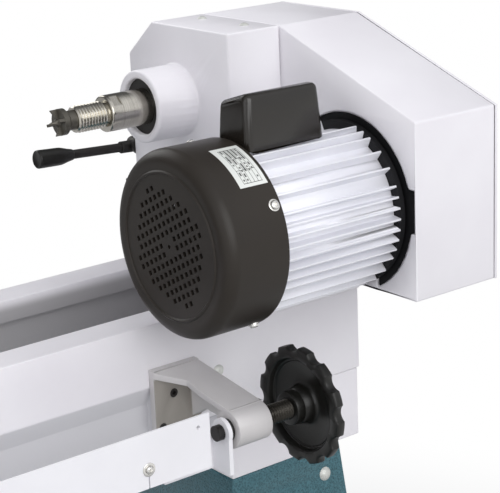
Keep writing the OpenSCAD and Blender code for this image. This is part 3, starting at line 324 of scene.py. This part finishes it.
# %% Plastics and rubber
gloss_black = finish("gloss_black", paint(16, 16, 14), paint(24, 23, 20), (0.3, 0.4), GRAIN, 700,
                     0.00005, strength=0.3, Specular_IOR_Level=0.35)
box_black = finish("box_black", paint(28, 25, 21), paint(36, 32, 28), (0.16, 0.24), GRAIN, 600,
                   0.00005, strength=0.3)
rubber = finish("belt_rubber", paint(28, 28, 28), paint(40, 40, 40), (0.6, 0.75), GRAIN, 1800,
                0.0002, strength=0.6)
green = finish("green_button", paint(28, 140, 60), paint(36, 156, 70), (0.3, 0.38), GRAIN, 1200,
               0.00004, strength=0.3)
red = finish("red_button", paint(190, 30, 24), paint(206, 40, 32), (0.3, 0.38), GRAIN, 1200,
             0.00004, strength=0.3)

# %% [markdown]
# Each piece of the construction keeps its shape and takes a finish. One table says which
# finish goes on which pieces, so a change of paint is a change of one line.

# %% Dress the pieces of the construction


def dress(node, material):
    piece = frame["nodes"][node]
    if not piece.material_slots:
        piece.data.materials.append(material)
    for held in piece.material_slots:
        held.material = material
    return piece


FINISH_OF = {
    enamel: ("head_base_block", "tail_base_block", "headstock_housing", "belt_cover",
             "belt_door", "tailstock_body"),
    rail_enamel: ("template_rail",),
    bare_steel: ("spindle_bearings", "motor_rotor", "motor_bearings", "cutter", "follower_arm",
                 "tailstock_clamp", "carriage_clamp", "tailstock_quill", "live_centre"),
    polished: ("spindle",),
    spur_steel: ("drive_centre",),
    flange_black: ("motor_flange",),
    plated: ("cowl_screws", "template_screws"),
    satin: ("cover_screws", "stand_bolts"),
    oxide: ("bracket_screws", "rail_pivots", "bearing_cap", "head_knob_stud", "tail_knob_stud",
            "motor_fan", "tension_lever", "tailstock_lever", "quill_lock"),
    rubber: ("drive_belt", "levelling_feet"),
    cast_metal: ("spindle_pulley", "motor_pulley"),
    barrel_metal: ("motor_housing",),
    machined: ("carriage_saddle", "cross_slide", "tool_post", "tail_handwheel"),
    winding: ("motor_stator",),
    cowl_black: ("fan_cowl",),
    box_black: ("capacitor_box",),
    gloss_black: ("head_star_knob", "tail_star_knob", "tension_lever_grip", "handwheel_grip",
                  "carriage_handle"),
    switch_grey: ("switch_box",),
    green: ("start_button",),
    red: ("stop_button",),
    hammer: ("head_leg", "tail_leg", "stand_shelf"),
}
for material, names in FINISH_OF.items():
    for name in names:
        dress(name, material)
dressed = {name for names in FINISH_OF.values() for name in names}
print("pieces that later cells dress:", sorted(set(frame["nodes"]) - dressed))

# %% [markdown]
# Between the rails, and under the fold of their sides, shade is painted into the white: the
# colour is greyer there to stand for the shade that falls in the gap and below the fold. The
# mask reads the place on the piece, and so it stays put from any side.

# %% Painted shade on the rails
FOLD_Z = -232
FOLD_BLEND = (1, -3)
TOP_BLEND = (-0.6, -12)
GAP_BLEND = (12, 9)
SIDE_SKIN = 0.4
# Painted shade: a grey for the shaded gap between the rails, and a paler grey for the shade under
# the fold.
GAP_SHADE_GREY = paint(168, 166, 168)
FOLD_SHADE_GREY = paint(206, 205, 209)


def calc(tree, operation, first, second=0.0):
    made = add(tree, "Math", operation=operation)
    for value, socket in ((first, made.inputs[0]), (second, made.inputs[1])):
        if isinstance(value, (int, float)):
            socket.default_value = value
        else:
            tree.links.new(value, socket)
    return made.outputs["Value"]


def ramp_between(tree, value, low, high):
    made = add(tree, "MapRange", {"From Min": low, "From Max": high},
               interpolation_type="SMOOTHSTEP")
    tree.links.new(value, made.inputs["Value"])
    return made.outputs["Result"]


def ramp_mm(tree, value, zero, place, blend):
    return ramp_between(tree, value, zero + (place + blend[0]) * MM,
                        zero + (place + blend[1]) * MM)


def tint(tree, mask, colour):
    shader = tree.nodes["Principled BSDF"]
    old = shader.inputs["Base Color"].links[0].from_socket
    mix = add(tree, "Mix", data_type="RGBA")
    tree.links.new(mask, mix.inputs["Factor"])
    tree.links.new(old, mix.inputs["A"])
    mix.inputs["B"].default_value = colour
    tree.links.new(mix.outputs["Result"], shader.inputs["Base Color"])


def make_shaded_rail_white():
    material = finish("shaded_rail_white", *WHITE_COAT, strength=0.35)
    tree = material.node_tree
    place = add(tree, "TexCoord")
    part = add(tree, "SeparateXYZ")
    tree.links.new(place.outputs["Object"], part.inputs["Vector"])
    low, high = corners("rear_rail")
    depth = ramp_mm(tree, part.outputs["Z"], SPINDLE.z, high.z, TOP_BLEND)
    aside = calc(tree, "ABSOLUTE", calc(tree, "SUBTRACT", part.outputs["Y"], SPINDLE.y))
    gap_shade = calc(tree, "MULTIPLY", depth, ramp_mm(tree, aside, 0, low.y, GAP_BLEND))
    shade_below = ramp_mm(tree, part.outputs["Z"], SPINDLE.z, FOLD_Z, FOLD_BLEND)
    inside = calc(tree, "LESS_THAN", aside, (high.y - SIDE_SKIN) * MM)
    shade_below = calc(tree, "MULTIPLY", shade_below, inside)
    # Painted shade under the fold and in the gap between the rails.
    tint(tree, shade_below, FOLD_SHADE_GREY)
    tint(tree, gap_shade, GAP_SHADE_GREY)
    return material


shaded_rail_white = make_shaded_rail_white()
for name in ("front_rail", "rear_rail", "bed_ties"):
    dress(name, shaded_rail_white)
print("rails dressed in", shaded_rail_white.name)

# %% [markdown]
# The template brackets are bright outside, and the face of their plates below the arm gets
# painted shade: it is darker and browner to stand for the shade under the arm. That mask is a
# thin slab of space, which both brackets share.

# %% Painted shade on the bracket plates
# Painted shade: the darker, browner grey that stands for the shade on the plate under the arm.
PLATE_SHADE_GREY = paint(156, 151, 144)
SCREW_BELOW_FACE = 0.6
BEHIND_BLEND = (-0.9, -0.4)
BEFORE_BLEND = (1.8, 0.6)
ARM_BLEND = (-6, -10)


def make_shaded_bracket_cast():
    material = finish("shaded_bracket_cast", *SAND_CAST, strength=0.6, Metallic=0.2)
    tree = material.node_tree
    place = add(tree, "TexCoord")
    part = add(tree, "SeparateXYZ")
    tree.links.new(place.outputs["Object"], part.inputs["Vector"])
    face = corners("bracket_screws")[1].y + SCREW_BELOW_FACE
    top = corners("head_bracket")[1].z
    behind = ramp_mm(tree, part.outputs["Y"], SPINDLE.y, face, BEHIND_BLEND)
    before = ramp_mm(tree, part.outputs["Y"], SPINDLE.y, face, BEFORE_BLEND)
    shade_below = ramp_mm(tree, part.outputs["Z"], SPINDLE.z, top, ARM_BLEND)
    mask = calc(tree, "MULTIPLY", calc(tree, "MULTIPLY", behind, before), shade_below)
    # Painted shade on the plate below the arm.
    tint(tree, mask, PLATE_SHADE_GREY)
    return material


shaded_bracket_cast = make_shaded_bracket_cast()
for name in ("head_bracket", "tail_bracket"):
    dress(name, shaded_bracket_cast)
print("brackets dressed in", shaded_bracket_cast.name)

# %% [markdown]
# Real sheet and castings have no knife edges, so a stack of modifiers rounds them: weld the
# seams between faces, merge flat triangles, and bevel what is sharper than the limit, with
# hardened normals so that flats stay flat. The mesh of the construction itself isn't touched.

# %% Round the edges
EDGE_LIMIT = math.radians(19)
FLAT_LIMIT = math.radians(0.4)
WELD_MM = 0.02
ROUNDED = {
    2.0: ("headstock_housing", "belt_cover"),
    1.2: ("front_rail", "rear_rail", "head_base_block", "tail_base_block", "head_leg", "tail_leg",
          "carriage_saddle", "cross_slide", "tool_post", "stand_shelf", "switch_box"),
    0.8: ("head_bracket", "tail_bracket", "capacitor_box", "tail_handwheel"),
    0.4: ("belt_door", "motor_housing"),
}


def soften(node, width_mm, segments=2):
    piece = frame["nodes"][node]
    weld = piece.modifiers.new("weld", "WELD")
    weld.merge_threshold = WELD_MM * MM
    flat = piece.modifiers.new("flat", "DECIMATE")
    flat.decimate_type = "DISSOLVE"
    flat.angle_limit = FLAT_LIMIT
    bevel = piece.modifiers.new("bevel", "BEVEL")
    bevel.width = width_mm * MM
    bevel.segments = segments
    bevel.limit_method = "ANGLE"
    bevel.angle_limit = EDGE_LIMIT
    bevel.use_clamp_overlap = False
    bevel.harden_normals = True
    piece.data.shade_smooth()
    piece.data.set_sharp_from_angle(angle=EDGE_LIMIT)


for width, names in ROUNDED.items():
    for name in names:
        soften(name, width)
print("rounded:", sum(len(names) for names in ROUNDED.values()))

# %% [markdown]
# New pieces are built in mesh code. The helpers below join rings of points one to the next and
# close both ends, which suits anything turned or lofted. Several such solids can share a piece.

# %% Build a piece from rings
SAME_SPOT = 0.000005


def join_rings(rings, points, faces):
    count = len(rings[0])
    first = len(points)
    points += [at(*p) for ring in rings for p in ring]
    for i in range(len(rings) - 1):
        for j in range(count):
            a = first + i * count + j
            b = first + i * count + (j + 1) % count
            faces.append((a, b, b + count, a + count))
    faces.append(tuple(first + j for j in reversed(range(count))))
    faces.append(tuple(len(points) - count + j for j in range(count)))


def piece_from_faces(name, points, faces, body, material, smooth_deg=40):
    mesh = bpy.data.meshes.new(name)
    mesh.from_pydata(points, [], faces)
    work = bmesh.new()
    work.from_mesh(mesh)
    bmesh.ops.remove_doubles(work, verts=work.verts, dist=SAME_SPOT)
    bmesh.ops.recalc_face_normals(work, faces=work.faces)
    work.to_mesh(mesh)
    work.free()
    mesh.shade_smooth()
    mesh.set_sharp_from_angle(angle=math.radians(smooth_deg))
    mesh.materials.append(material)
    piece = bpy.data.objects.new(name, mesh)
    bpy.context.scene.collection.objects.link(piece)
    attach(piece, body)
    return piece


def piece_from_rings(name, rings, body, material, smooth_deg=40):
    points, faces = [], []
    join_rings(rings, points, faces)
    return piece_from_faces(name, points, faces, body, material, smooth_deg)


print("points closer than this are one, in metres:", SAME_SPOT)

# %% [markdown]
# The star knob is a moulded dish. Its rim is a ring of lobes with small scallops between them,
# and the scallops die out towards the dish, so the outline is a function of angle and depth.
# Each ring of the mesh has a radius, a place along the axis, and how much of the scallop it gets.

# %% Star knobs
LOBES = 12
KNOB_R = 54.4
LOBE_STEPS = 24
SCALLOP_R = 9
SCALLOP_DEEP = 4.4
FIRST_SCALLOP = math.radians(6)


def scallop(angle, share):
    turns = (angle - FIRST_SCALLOP) * LOBES / math.tau
    aside = abs(turns - round(turns)) * math.tau * KNOB_R / LOBES
    chord = math.sqrt(max(0, SCALLOP_R ** 2 - aside ** 2))
    return share * max(0, chord - SCALLOP_R + SCALLOP_DEEP)


def knob_rings(face_x, inward):
    rim = KNOB_R
    profile = [
        (3, 0.8, 0), (24, 0.8, 0), (32, 2.2, 0), (rim - 9, 4.4, 0.4), (rim - 2.4, 4.8, 0.95),
        (rim - 0.7, 5.4, 1), (rim, 6.6, 1), (rim, 12.4, 1), (rim - 0.4, 13.4, 1),
        (rim - 1.5, 14, 1), (rim - 4.6, 14.2, 0.85), (rim - 9.6, 14.2, 0.2),
        (rim - 11, 13.4, 0.05), (rim - 11.8, 11.6, 0), (rim - 12.8, 8.4, 0),
        (rim - 14.4, 7.4, 0), (rim - 15.2, 7.7, 0), (rim - 16, 7.2, 0), (23, 5.4, 0),
        (19.6, 5.6, 0), (18.2, 6.6, 0), (17.2, 9, 0), (16.4, 16.6, 0), (15.6, 17.4, 0),
        (15.4, 24, 0), (15, 25.4, 0), (14, 26, 0), (9.6, 26, 0), (9.4, 20, 0),
    ]
    count = LOBES * LOBE_STEPS
    for radius, depth, share in profile:
        ring = []
        for step in range(count):
            angle = FIRST_SCALLOP + math.tau * (step + 0.5) / count
            reach = radius - scallop(angle, share)
            place = (face_x + inward * depth, HINGE.y + reach * math.cos(angle),
                     HINGE.z + reach * math.sin(angle))
            ring.append(place)
        yield ring


for end, inward in (("head", 1), ("tail", -1)):
    low, high = corners(end + "_star_knob")
    face = low.x if inward > 0 else high.x
    knob = piece_from_rings(end + "_star_moulding", list(knob_rings(face, inward)),
                            end + "_star", gloss_black)
    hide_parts(end + "_star_knob")
    print(knob.name, "faces:", len(knob.data.polygons))

# %% [markdown]
# Each knob draws up on a coarse threaded stud. A thread is one helix and not a row of rings, so
# the radius depends on the place along the axis and on the angle together.

# %% Threaded studs
STUD_R = 9.3
THREAD_DEEP = 1.6
THREAD_PITCH = 2.9
THREAD_ANGLES = 48
STUD_RINGS_A_TURN = 8
STUD_END = 1


def stud_ring(x, thread):
    ring = []
    for step in range(THREAD_ANGLES):
        share = step / THREAD_ANGLES
        flank = abs(2 * ((x / THREAD_PITCH - share) % 1) - 1)
        reach = STUD_R - THREAD_DEEP * flank if thread else STUD_R - THREAD_DEEP
        ring.append((x, HINGE.y + reach * math.cos(share * math.tau),
                     HINGE.z + reach * math.sin(share * math.tau)))
    return ring


for end in ("head", "tail"):
    low, high = corners(end + "_knob_stud")
    long = high.x - low.x - 2 * STUD_END
    count = round(long * STUD_RINGS_A_TURN / THREAD_PITCH)
    rings = [stud_ring(low.x, False)]
    rings += [stud_ring(low.x + STUD_END + long * step / count, True)
              for step in range(count + 1)]
    rings.append(stud_ring(high.x, False))
    stud = piece_from_rings(end + "_threaded_stud", rings, end + "_star",
                            stud_steel, smooth_deg=60)
    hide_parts(end + "_knob_stud")
    print(stud.name, "faces:", len(stud.data.polygons))

# %% [markdown]
# The spindle is one turned bar: a plain shaft through the headstock, a thicker shoulder with a
# rounded end and two small wrench flats, and a nose with a helical thread. Each ring has a place
# and a radius, and the flats and the thread change that radius with the angle.

# %% Spindle with its thread
SPINDLE_ANGLES = 96
SHAFT_R = 15
STEP_IN = 4
CORNER_R = 1.8
CORNER_STEPS = 6
NOSE_R = 12.7
NOSE_LONG = 32.5
NOSE_PITCH = 3.175
NOSE_DEEP = 2.1
NOSE_RINGS_A_TURN = 10
THREAD_END = 2.2
FLAT_X = (3.4, 12)
FLAT_DEG = (52, 232)
FLAT_DEEP = 1.3


def flat_reach(radius, angle):
    for degrees in FLAT_DEG:
        aside = math.cos(angle - math.radians(degrees))
        if aside > 0.5:
            radius = min(radius, (radius - FLAT_DEEP) / aside)
    return radius


def spindle_ring(x, radius, cut="none"):
    ring = []
    for step in range(SPINDLE_ANGLES):
        share = step / SPINDLE_ANGLES
        reach = radius
        if cut == "thread":
            reach -= NOSE_DEEP * abs(2 * ((x / NOSE_PITCH - share) % 1) - 1)
        if cut == "flats":
            reach = flat_reach(radius, share * math.tau)
        ring.append((x, reach * math.cos(share * math.tau), reach * math.sin(share * math.tau)))
    return ring


def make_spindle():
    low, high = corners("spindle")
    thick = high.z
    shoulder = high.x - NOSE_LONG
    boss = corners("bearing_cap")[1].x - STEP_IN
    rings = [spindle_ring(low.x, SHAFT_R - 1), spindle_ring(low.x + 1, SHAFT_R),
             spindle_ring(boss, SHAFT_R), spindle_ring(boss, thick)]
    near, far = shoulder - FLAT_X[0], shoulder - FLAT_X[1]
    rings += [spindle_ring(far, thick), spindle_ring(far + 0.01, thick, "flats"),
              spindle_ring(near - 0.01, thick, "flats"), spindle_ring(near, thick)]
    for step in range(CORNER_STEPS + 1):
        bend = math.radians(90 * step / CORNER_STEPS)
        rings.append(spindle_ring(shoulder + CORNER_R * (math.sin(bend) - 1),
                                  thick + CORNER_R * (math.cos(bend) - 1)))
    rings += [spindle_ring(shoulder, NOSE_R - NOSE_DEEP),
              spindle_ring(shoulder + 1.6, NOSE_R - NOSE_DEEP)]
    long = NOSE_LONG - 2 * THREAD_END
    count = round(long * NOSE_RINGS_A_TURN / NOSE_PITCH)
    for step in range(count + 1):
        rings.append(spindle_ring(shoulder + THREAD_END + long * step / count, NOSE_R, "thread"))
    rings += [spindle_ring(high.x - 1.4, NOSE_R - 0.6), spindle_ring(high.x, NOSE_R - 1.8)]
    bar = piece_from_rings("threaded_spindle", rings, "spindle", polished)
    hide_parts("spindle")
    print(bar.name, "faces:", len(bar.data.polygons))


make_spindle()

# %% [markdown]
# The belt tension lever turns on a thin flange against the headstock. Its rod leaves a short
# boss a little below the pivot, and the moulded grip is a plain cylinder that narrows to the rod.
# All are turned shapes, so one helper adds a turned solid along any axis to a piece's lists.

# %% Tension lever
LEVER = (Vector(joint("tension_lever_turn")["pos_m"]) - SPINDLE) / MM
LEVER_TILT = math.radians(3)
ROD_OUT = 11
ROD_LOW = 2.4
ROD_LONG = 74
ROD_R = 4.5


def add_turned(points, faces, start, along, profile, steps=40):
    side = along.orthogonal().normalized()
    other = along.cross(side)
    rings = []
    for place, radius in profile:
        ring = []
        for step in range(steps):
            angle = math.tau * step / steps
            spot = side * math.cos(angle) + other * math.sin(angle)
            ring.append(start + along * place + spot * radius)
        rings.append(ring)
    join_rings(rings, points, faces)


along = Vector((math.cos(LEVER_TILT), 0, math.sin(LEVER_TILT)))
out = Vector((0, -1, 0))
root = LEVER + out * ROD_OUT + Vector((0, 0, -ROD_LOW))
points, faces = [], []
add_turned(points, faces, LEVER, out, [(-12, 5), (0.2, 5)])
add_turned(points, faces, LEVER, out, [(0.2, 9.4), (0.6, 10), (3.6, 10), (4.2, 9.4), (4.2, 6.3),
                                       (17.4, 6.3), (18, 5.7)])
add_turned(points, faces, root, along, [(0, 5.6), (0.4, 6), (17.6, 6), (18.3, 5.4),
                                        (18.3, ROD_R), (ROD_LONG + 4, ROD_R)])
rod = piece_from_faces("tension_lever_rod", points, faces, "tension_lever", oxide)
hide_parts("tension_lever")

points, faces = [], []
tip = [(0, 5), (0.5, 5.4), (6, 6.5), (12, 8.1), (14, 8.5), (17, 8.7), (38.4, 9), (39.4, 8.8),
       (40, 8.1), (40, 6.6), (39.5, 6)]
add_turned(points, faces, root + along * ROD_LONG, along, tip)
grip = piece_from_faces("tension_lever_moulding", points, faces, "tension_lever",
                        gloss_black)
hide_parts("tension_lever_grip")
print("lever faces:", len(rod.data.polygons) + len(grip.data.polygons))

# %% [markdown]
# The small screws that catch the eye have a washer, a pan head and a cross recess. All of them
# that share a node become one piece: rings of points go round each screw's own axis, and four
# slots of the recess come from a radius that changes with the angle.

# %% Screws with washers
SCREW_STEPS = 32


def screw_rings(centre, out, washer_r, head_r):
    side = out.orthogonal().normalized()
    other = out.cross(side)
    profile = [
        (washer_r, 0.02, 0), (washer_r, 0.8, 0), (washer_r - 0.25, 1, 0), (head_r + 0.5, 1, 0),
        (head_r + 0.35, 0.55, 0), (head_r - 0.05, 0.55, 0), (head_r, 1.7, 0),
        (head_r - 0.35, 2.6, 0), (head_r - 1, 3.2, 0), (head_r * 0.58, 3.4, 0.35),
        (head_r * 0.5, 2.6, 0.7), (0.25, 1.9, 0),
    ]
    rings = []
    for radius, height, cross in profile:
        ring = []
        for step in range(SCREW_STEPS):
            angle = math.tau * step / SCREW_STEPS
            reach = radius * (1 - cross * (0.5 - 0.5 * math.cos(4 * angle)) ** 0.7)
            ring.append(centre + out * height + side * reach * math.cos(angle)
                        + other * reach * math.sin(angle))
        rings.append(ring)
    return rings


def screws(node, places, body, washer_r, head_r):
    points, faces = [], []
    for centre, out in places:
        join_rings(screw_rings(centre, out, washer_r, head_r), points, faces)
    piece = piece_from_faces(node + "_heads", points, faces, body, plated)
    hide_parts(node)
    print(piece.name, "screws:", len(places))


COWL_SCREW_DEG = (28, 118, 208, 298)
COWL_WASHER_R = 5.2
COWL_HEAD_R = 3.9
SUNK = 0.2
low, high = corners("cowl_screws")
ring_x = (low.x + high.x) / 2
reach = corners("fan_cowl")[1].y - MOTOR.y
places = []
for degrees in COWL_SCREW_DEG:
    angle = math.radians(degrees)
    out = Vector((0, math.cos(angle), math.sin(angle)))
    places.append((Vector((ring_x, MOTOR.y, MOTOR.z)) + out * (reach - SUNK), out))
screws("cowl_screws", places, "frame", COWL_WASHER_R, COWL_HEAD_R)

RAIL_SCREWS = 5
RAIL_HEAD_R = 3.6
low, high = corners("template_screws")
wall_y = corners("template_rail")[1].y
half = (high.z - low.z) / 2
places = []
for step in range(RAIL_SCREWS):
    x = low.x + half + (high.x - low.x - 2 * half) * step / (RAIL_SCREWS - 1)
    places.append((Vector((x, wall_y, low.z + half)), Vector((0, 1, 0))))
screws("template_screws", places, "template_rail", half, RAIL_HEAD_R)

# %% [markdown]
# A foil plate is glued round the rear edge of the fan cowl. It is a thin sheet bent to the
# cowl's radius, and its ruled table is drawn by shader nodes from two coordinates on the sheet:
# rows of lines, columns between them, and short bars that stand for entries.

# %% Foil plate on the cowl
PLATE_X = (78.4, 106.6)
PLATE_DEG = (42, 76)
PLATE_STEPS = 24
COWL_R = corners("fan_cowl")[1].y - MOTOR.y
PLATE_THICK = 0.16
PLATE_FOOT = 0.02
TABLE_ROWS = 5
TABLE_COLUMNS = 3
TABLE_START = (0.2, 0.1)
TABLE_SPAN = (0.66, 0.83)
EDGE_U = (0.192, 0.868)
EDGE_V = (0.092, 0.938)
ROW_LINE = 0.055
COLUMN_LINE = 0.02
BAR_SLOTS = 26.0
BAR_FROM = 0.3
FEWER_BARS = (0.05, 1.2)
INK = paint(74, 74, 72)


def between(tree, value, low, high):
    return calc(tree, "MULTIPLY", calc(tree, "GREATER_THAN", value, low),
                calc(tree, "LESS_THAN", value, high))


def make_foil():
    material = finish("foil_plate", paint(214, 216, 212), paint(228, 230, 226), (0.3, 0.4), GRAIN,
                      1500, 0.00003, strength=0.3, Metallic=0.15)
    tree = material.node_tree
    across = add(tree, "UVMap")
    part = add(tree, "SeparateXYZ")
    tree.links.new(across.outputs["UV"], part.inputs["Vector"])
    u, v = part.outputs["X"], part.outputs["Y"]
    row = calc(tree, "MULTIPLY", calc(tree, "SUBTRACT", u, TABLE_START[0]),
               TABLE_ROWS / TABLE_SPAN[0])
    column = calc(tree, "MULTIPLY", calc(tree, "SUBTRACT", v, TABLE_START[1]),
                  TABLE_COLUMNS / TABLE_SPAN[1])
    row_line = calc(tree, "LESS_THAN", calc(tree, "PINGPONG", row, 0.5), ROW_LINE)
    column_line = calc(tree, "LESS_THAN", calc(tree, "PINGPONG", column, 0.5), COLUMN_LINE)
    lines = calc(tree, "MAXIMUM", row_line, column_line)
    inside = calc(tree, "MULTIPLY", between(tree, u, *EDGE_U), between(tree, v, *EDGE_V))
    place = add(tree, "CombineXYZ")
    tree.links.new(calc(tree, "FLOOR", row), place.inputs["X"])
    tree.links.new(calc(tree, "FLOOR", calc(tree, "MULTIPLY", v, BAR_SLOTS)), place.inputs["Y"])
    chance = add(tree, "TexWhiteNoise", noise_dimensions="2D")
    tree.links.new(place.outputs["Vector"], chance.inputs["Vector"])
    filled = calc(tree, "GREATER_THAN", chance.outputs["Value"],
                  ramp_between(tree, v, *FEWER_BARS))
    height = calc(tree, "PINGPONG", row, 0.5)
    bar = calc(tree, "MULTIPLY", filled, calc(tree, "GREATER_THAN", height, BAR_FROM))
    ink = calc(tree, "MULTIPLY", calc(tree, "MAXIMUM", lines, bar), inside)
    tint(tree, ink, INK)
    return material


def make_plate():
    rings = []
    for step in range(PLATE_STEPS + 1):
        angle = math.radians(PLATE_DEG[1] + (PLATE_DEG[0] - PLATE_DEG[1]) * step / PLATE_STEPS)
        ring = []
        for reach, x in ((PLATE_FOOT, 1), (PLATE_THICK, 1), (PLATE_THICK, 0), (PLATE_FOOT, 0)):
            radius = COWL_R + reach
            ring.append((PLATE_X[x], MOTOR.y + radius * math.cos(angle),
                         MOTOR.z + radius * math.sin(angle)))
        rings.append(ring)
    plate = piece_from_rings("cowl_foil_plate", rings, "frame", make_foil())
    layer = plate.data.uv_layers.new(name="table")
    top = math.radians(PLATE_DEG[1])
    span = math.radians(PLATE_DEG[1] - PLATE_DEG[0])
    for loop in plate.data.loops:
        spot = (plate.data.vertices[loop.vertex_index].co - SPINDLE) / MM
        angle = math.atan2(spot.z - MOTOR.z, spot.y - MOTOR.y)
        layer.data[loop.index].uv = ((PLATE_X[1] - spot.x) / (PLATE_X[1] - PLATE_X[0]),
                                     (top - angle) / span)
    return plate


print("plate faces:", len(make_plate().data.polygons))

# %% [markdown]
# The tailstock's body is a casting with a fillet in every corner. Rather than model each one, a
# copy of its shape is remeshed to small even cells and then relaxed, which melts the corners as
# sand casting does. The copy stands for the plain piece.

# %% Melt the corners of a casting
CELL_MM = 2.2
RELAX_STEPS = 6


def cast_copy(node, body, material):
    source = frame["nodes"][node]
    piece = source.copy()
    piece.data = source.data.copy()
    piece.name = node + "_casting"
    for key in list(piece.keys()):
        del piece[key]
    piece.modifiers.clear()
    bpy.context.scene.collection.objects.link(piece)
    remesh = piece.modifiers.new("remesh", "REMESH")
    remesh.mode = "VOXEL"
    remesh.voxel_size = CELL_MM * MM
    remesh.use_smooth_shade = True
    smooth = piece.modifiers.new("relax", "SMOOTH")
    smooth.iterations = RELAX_STEPS
    smooth.factor = 0.5
    bpy.context.view_layer.update()
    shaped = bpy.data.meshes.new_from_object(
        piece.evaluated_get(bpy.context.evaluated_depsgraph_get()))
    piece.modifiers.clear()
    piece.data = shaped
    shaped.shade_smooth()
    shaped.materials.clear()
    shaped.materials.append(material)
    piece.parent = None
    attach(piece, body)
    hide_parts(node)
    print(piece.name, "faces:", len(shaped.polygons))


cast_copy("tailstock_body", "tailstock", enamel)

# %% [markdown]
# The floor is a wide plate. Near the lathe it is an ordinary pale surface that takes its
# shadow, and farther out it turns into plain white for the camera and for reflections, so the
# picture gets its white ground from the floor and not from brighter lamps. Reflections see less
# of that white on the operator's side, which keeps the black pieces black.

# %% Floor
FLOOR_HALF = 30
FLOOR_GREY = 0.52
NEAR_R = 1.1
FAR_R = 2.2
DARK_SIDE_Y = -2.4
BRIGHT_SIDE_Y = 1.2
DARK_SIDE_SHARE = 0.1


def make_floor():
    mesh = bpy.data.meshes.new("floor")
    mesh.from_pydata([(x * FLOOR_HALF, y * FLOOR_HALF, 0) for x, y in
                      ((-1, -1), (1, -1), (1, 1), (-1, 1))], [], [(0, 1, 2, 3)])
    floor = bpy.data.objects.new("floor", mesh)
    bpy.context.scene.collection.objects.link(floor)
    material = bpy.data.materials.new("floor")
    material.use_nodes = True
    tree = material.node_tree
    shader = tree.nodes["Principled BSDF"]
    shader.inputs["Base Color"].default_value = (FLOOR_GREY, FLOOR_GREY, FLOOR_GREY, 1)
    shader.inputs["Roughness"].default_value = 0.9
    glow = add(tree, "Emission", {"Strength": 1.0})
    path = add(tree, "LightPath")
    place = add(tree, "TexCoord")
    part = add(tree, "SeparateXYZ")
    tree.links.new(place.outputs["Object"], part.inputs["Vector"])
    side = add(tree, "MapRange", {"From Min": DARK_SIDE_Y, "From Max": BRIGHT_SIDE_Y,
                                  "To Min": DARK_SIDE_SHARE})
    tree.links.new(part.outputs["Y"], side.inputs["Value"])
    mirror = calc(tree, "MULTIPLY", side.outputs["Result"], path.outputs["Is Glossy Ray"])
    seen = calc(tree, "MAXIMUM", path.outputs["Is Camera Ray"], mirror)
    reach = add(tree, "VectorMath", operation="LENGTH")
    tree.links.new(place.outputs["Object"], reach.inputs[0])
    far = ramp_between(tree, reach.outputs["Value"], NEAR_R, FAR_R)
    mix = add(tree, "MixShader")
    tree.links.new(calc(tree, "MULTIPLY", far, seen), mix.inputs["Fac"])
    tree.links.new(shader.outputs["BSDF"], mix.inputs[1])
    tree.links.new(glow.outputs["Emission"], mix.inputs[2])
    tree.links.new(mix.outputs["Shader"], tree.nodes["Material Output"].inputs["Surface"])
    mesh.materials.append(material)


make_floor()
print("floor half width in metres:", FLOOR_HALF)

# %% [markdown]
# The light is that of a small studio: a world that is brighter overhead, one large soft lamp
# above the motor's side, a weak one by the tailstock and one in front of the operator's side.
# Faces square to Y come out brightest, and faces square to X a step darker.

# %% World
SKY_LOW = 0.46
SKY_HIGH = 1.06
MIRROR_DARK = 0.12
MIRROR_FROM = -0.6
MIRROR_TO = 0.4


def mixed(tree, share, first, second):
    made = add(tree, "Mix")
    tree.links.new(share, made.inputs[0])
    tree.links.new(first, made.inputs[2])
    if isinstance(second, float):
        made.inputs[3].default_value = second
    else:
        tree.links.new(second, made.inputs[3])
    return made.outputs[0]


def make_world():
    world = bpy.data.worlds.new("studio")
    bpy.context.scene.world = world
    world.use_nodes = True
    tree = world.node_tree
    ground = tree.nodes["Background"]
    ground.inputs["Color"].default_value = (0.96, 0.97, 1, 1)
    path = add(tree, "LightPath")
    place = add(tree, "TexCoord")
    part = add(tree, "SeparateXYZ")
    tree.links.new(place.outputs["Generated"], part.inputs["Vector"])
    sky = add(tree, "MapRange", {"From Min": 0.0, "To Min": SKY_LOW, "To Max": SKY_HIGH})
    tree.links.new(part.outputs["Z"], sky.inputs["Value"])
    mirror = ramp_between(tree, part.outputs["Y"], MIRROR_FROM, MIRROR_TO)
    mirror.node.inputs["To Min"].default_value = MIRROR_DARK
    level = mixed(tree, path.outputs["Is Glossy Ray"], sky.outputs["Result"], mirror)
    level = mixed(tree, path.outputs["Is Camera Ray"], level, 1.0)
    tree.links.new(level, ground.inputs["Strength"])


make_world()
print("sky level, low and high:", SKY_LOW, SKY_HIGH)

# %% [markdown]
# Each lamp is a wide rectangle, so its shadows are soft. The table gives its place and what it
# points at in metres, its two sides, and its power in watts.

# %% Lamps
LAMPS = {
    "key": ((0.1, 3.0, 2.4), (-0.4, 0, 0.95), (3.0, 2.4), 60),
    "fill": ((2.6, 0.9, 1.9), (-0.4, 0, 0.9), (1.6, 1.6), 5),
    "front": ((-0.3, -2.6, 2.4), (0, 0, 0.8), (2.0, 1.6), 24),
}


def make_lamp(name, place, aim, size, watts):
    light = bpy.data.lights.new(name, "AREA")
    light.shape = "RECTANGLE"
    light.size = size[0]
    light.size_y = size[1]
    light.energy = watts
    lamp = bpy.data.objects.new(name, light)
    bpy.context.scene.collection.objects.link(lamp)
    lamp.location = place
    lamp.rotation_euler = (Vector(aim) - Vector(place)).to_track_quat("-Z", "Y").to_euler()


for name, values in LAMPS.items():
    make_lamp(name, *values)
bpy.context.scene.view_settings.view_transform = "Standard"
print("lamps:", ", ".join(LAMPS))
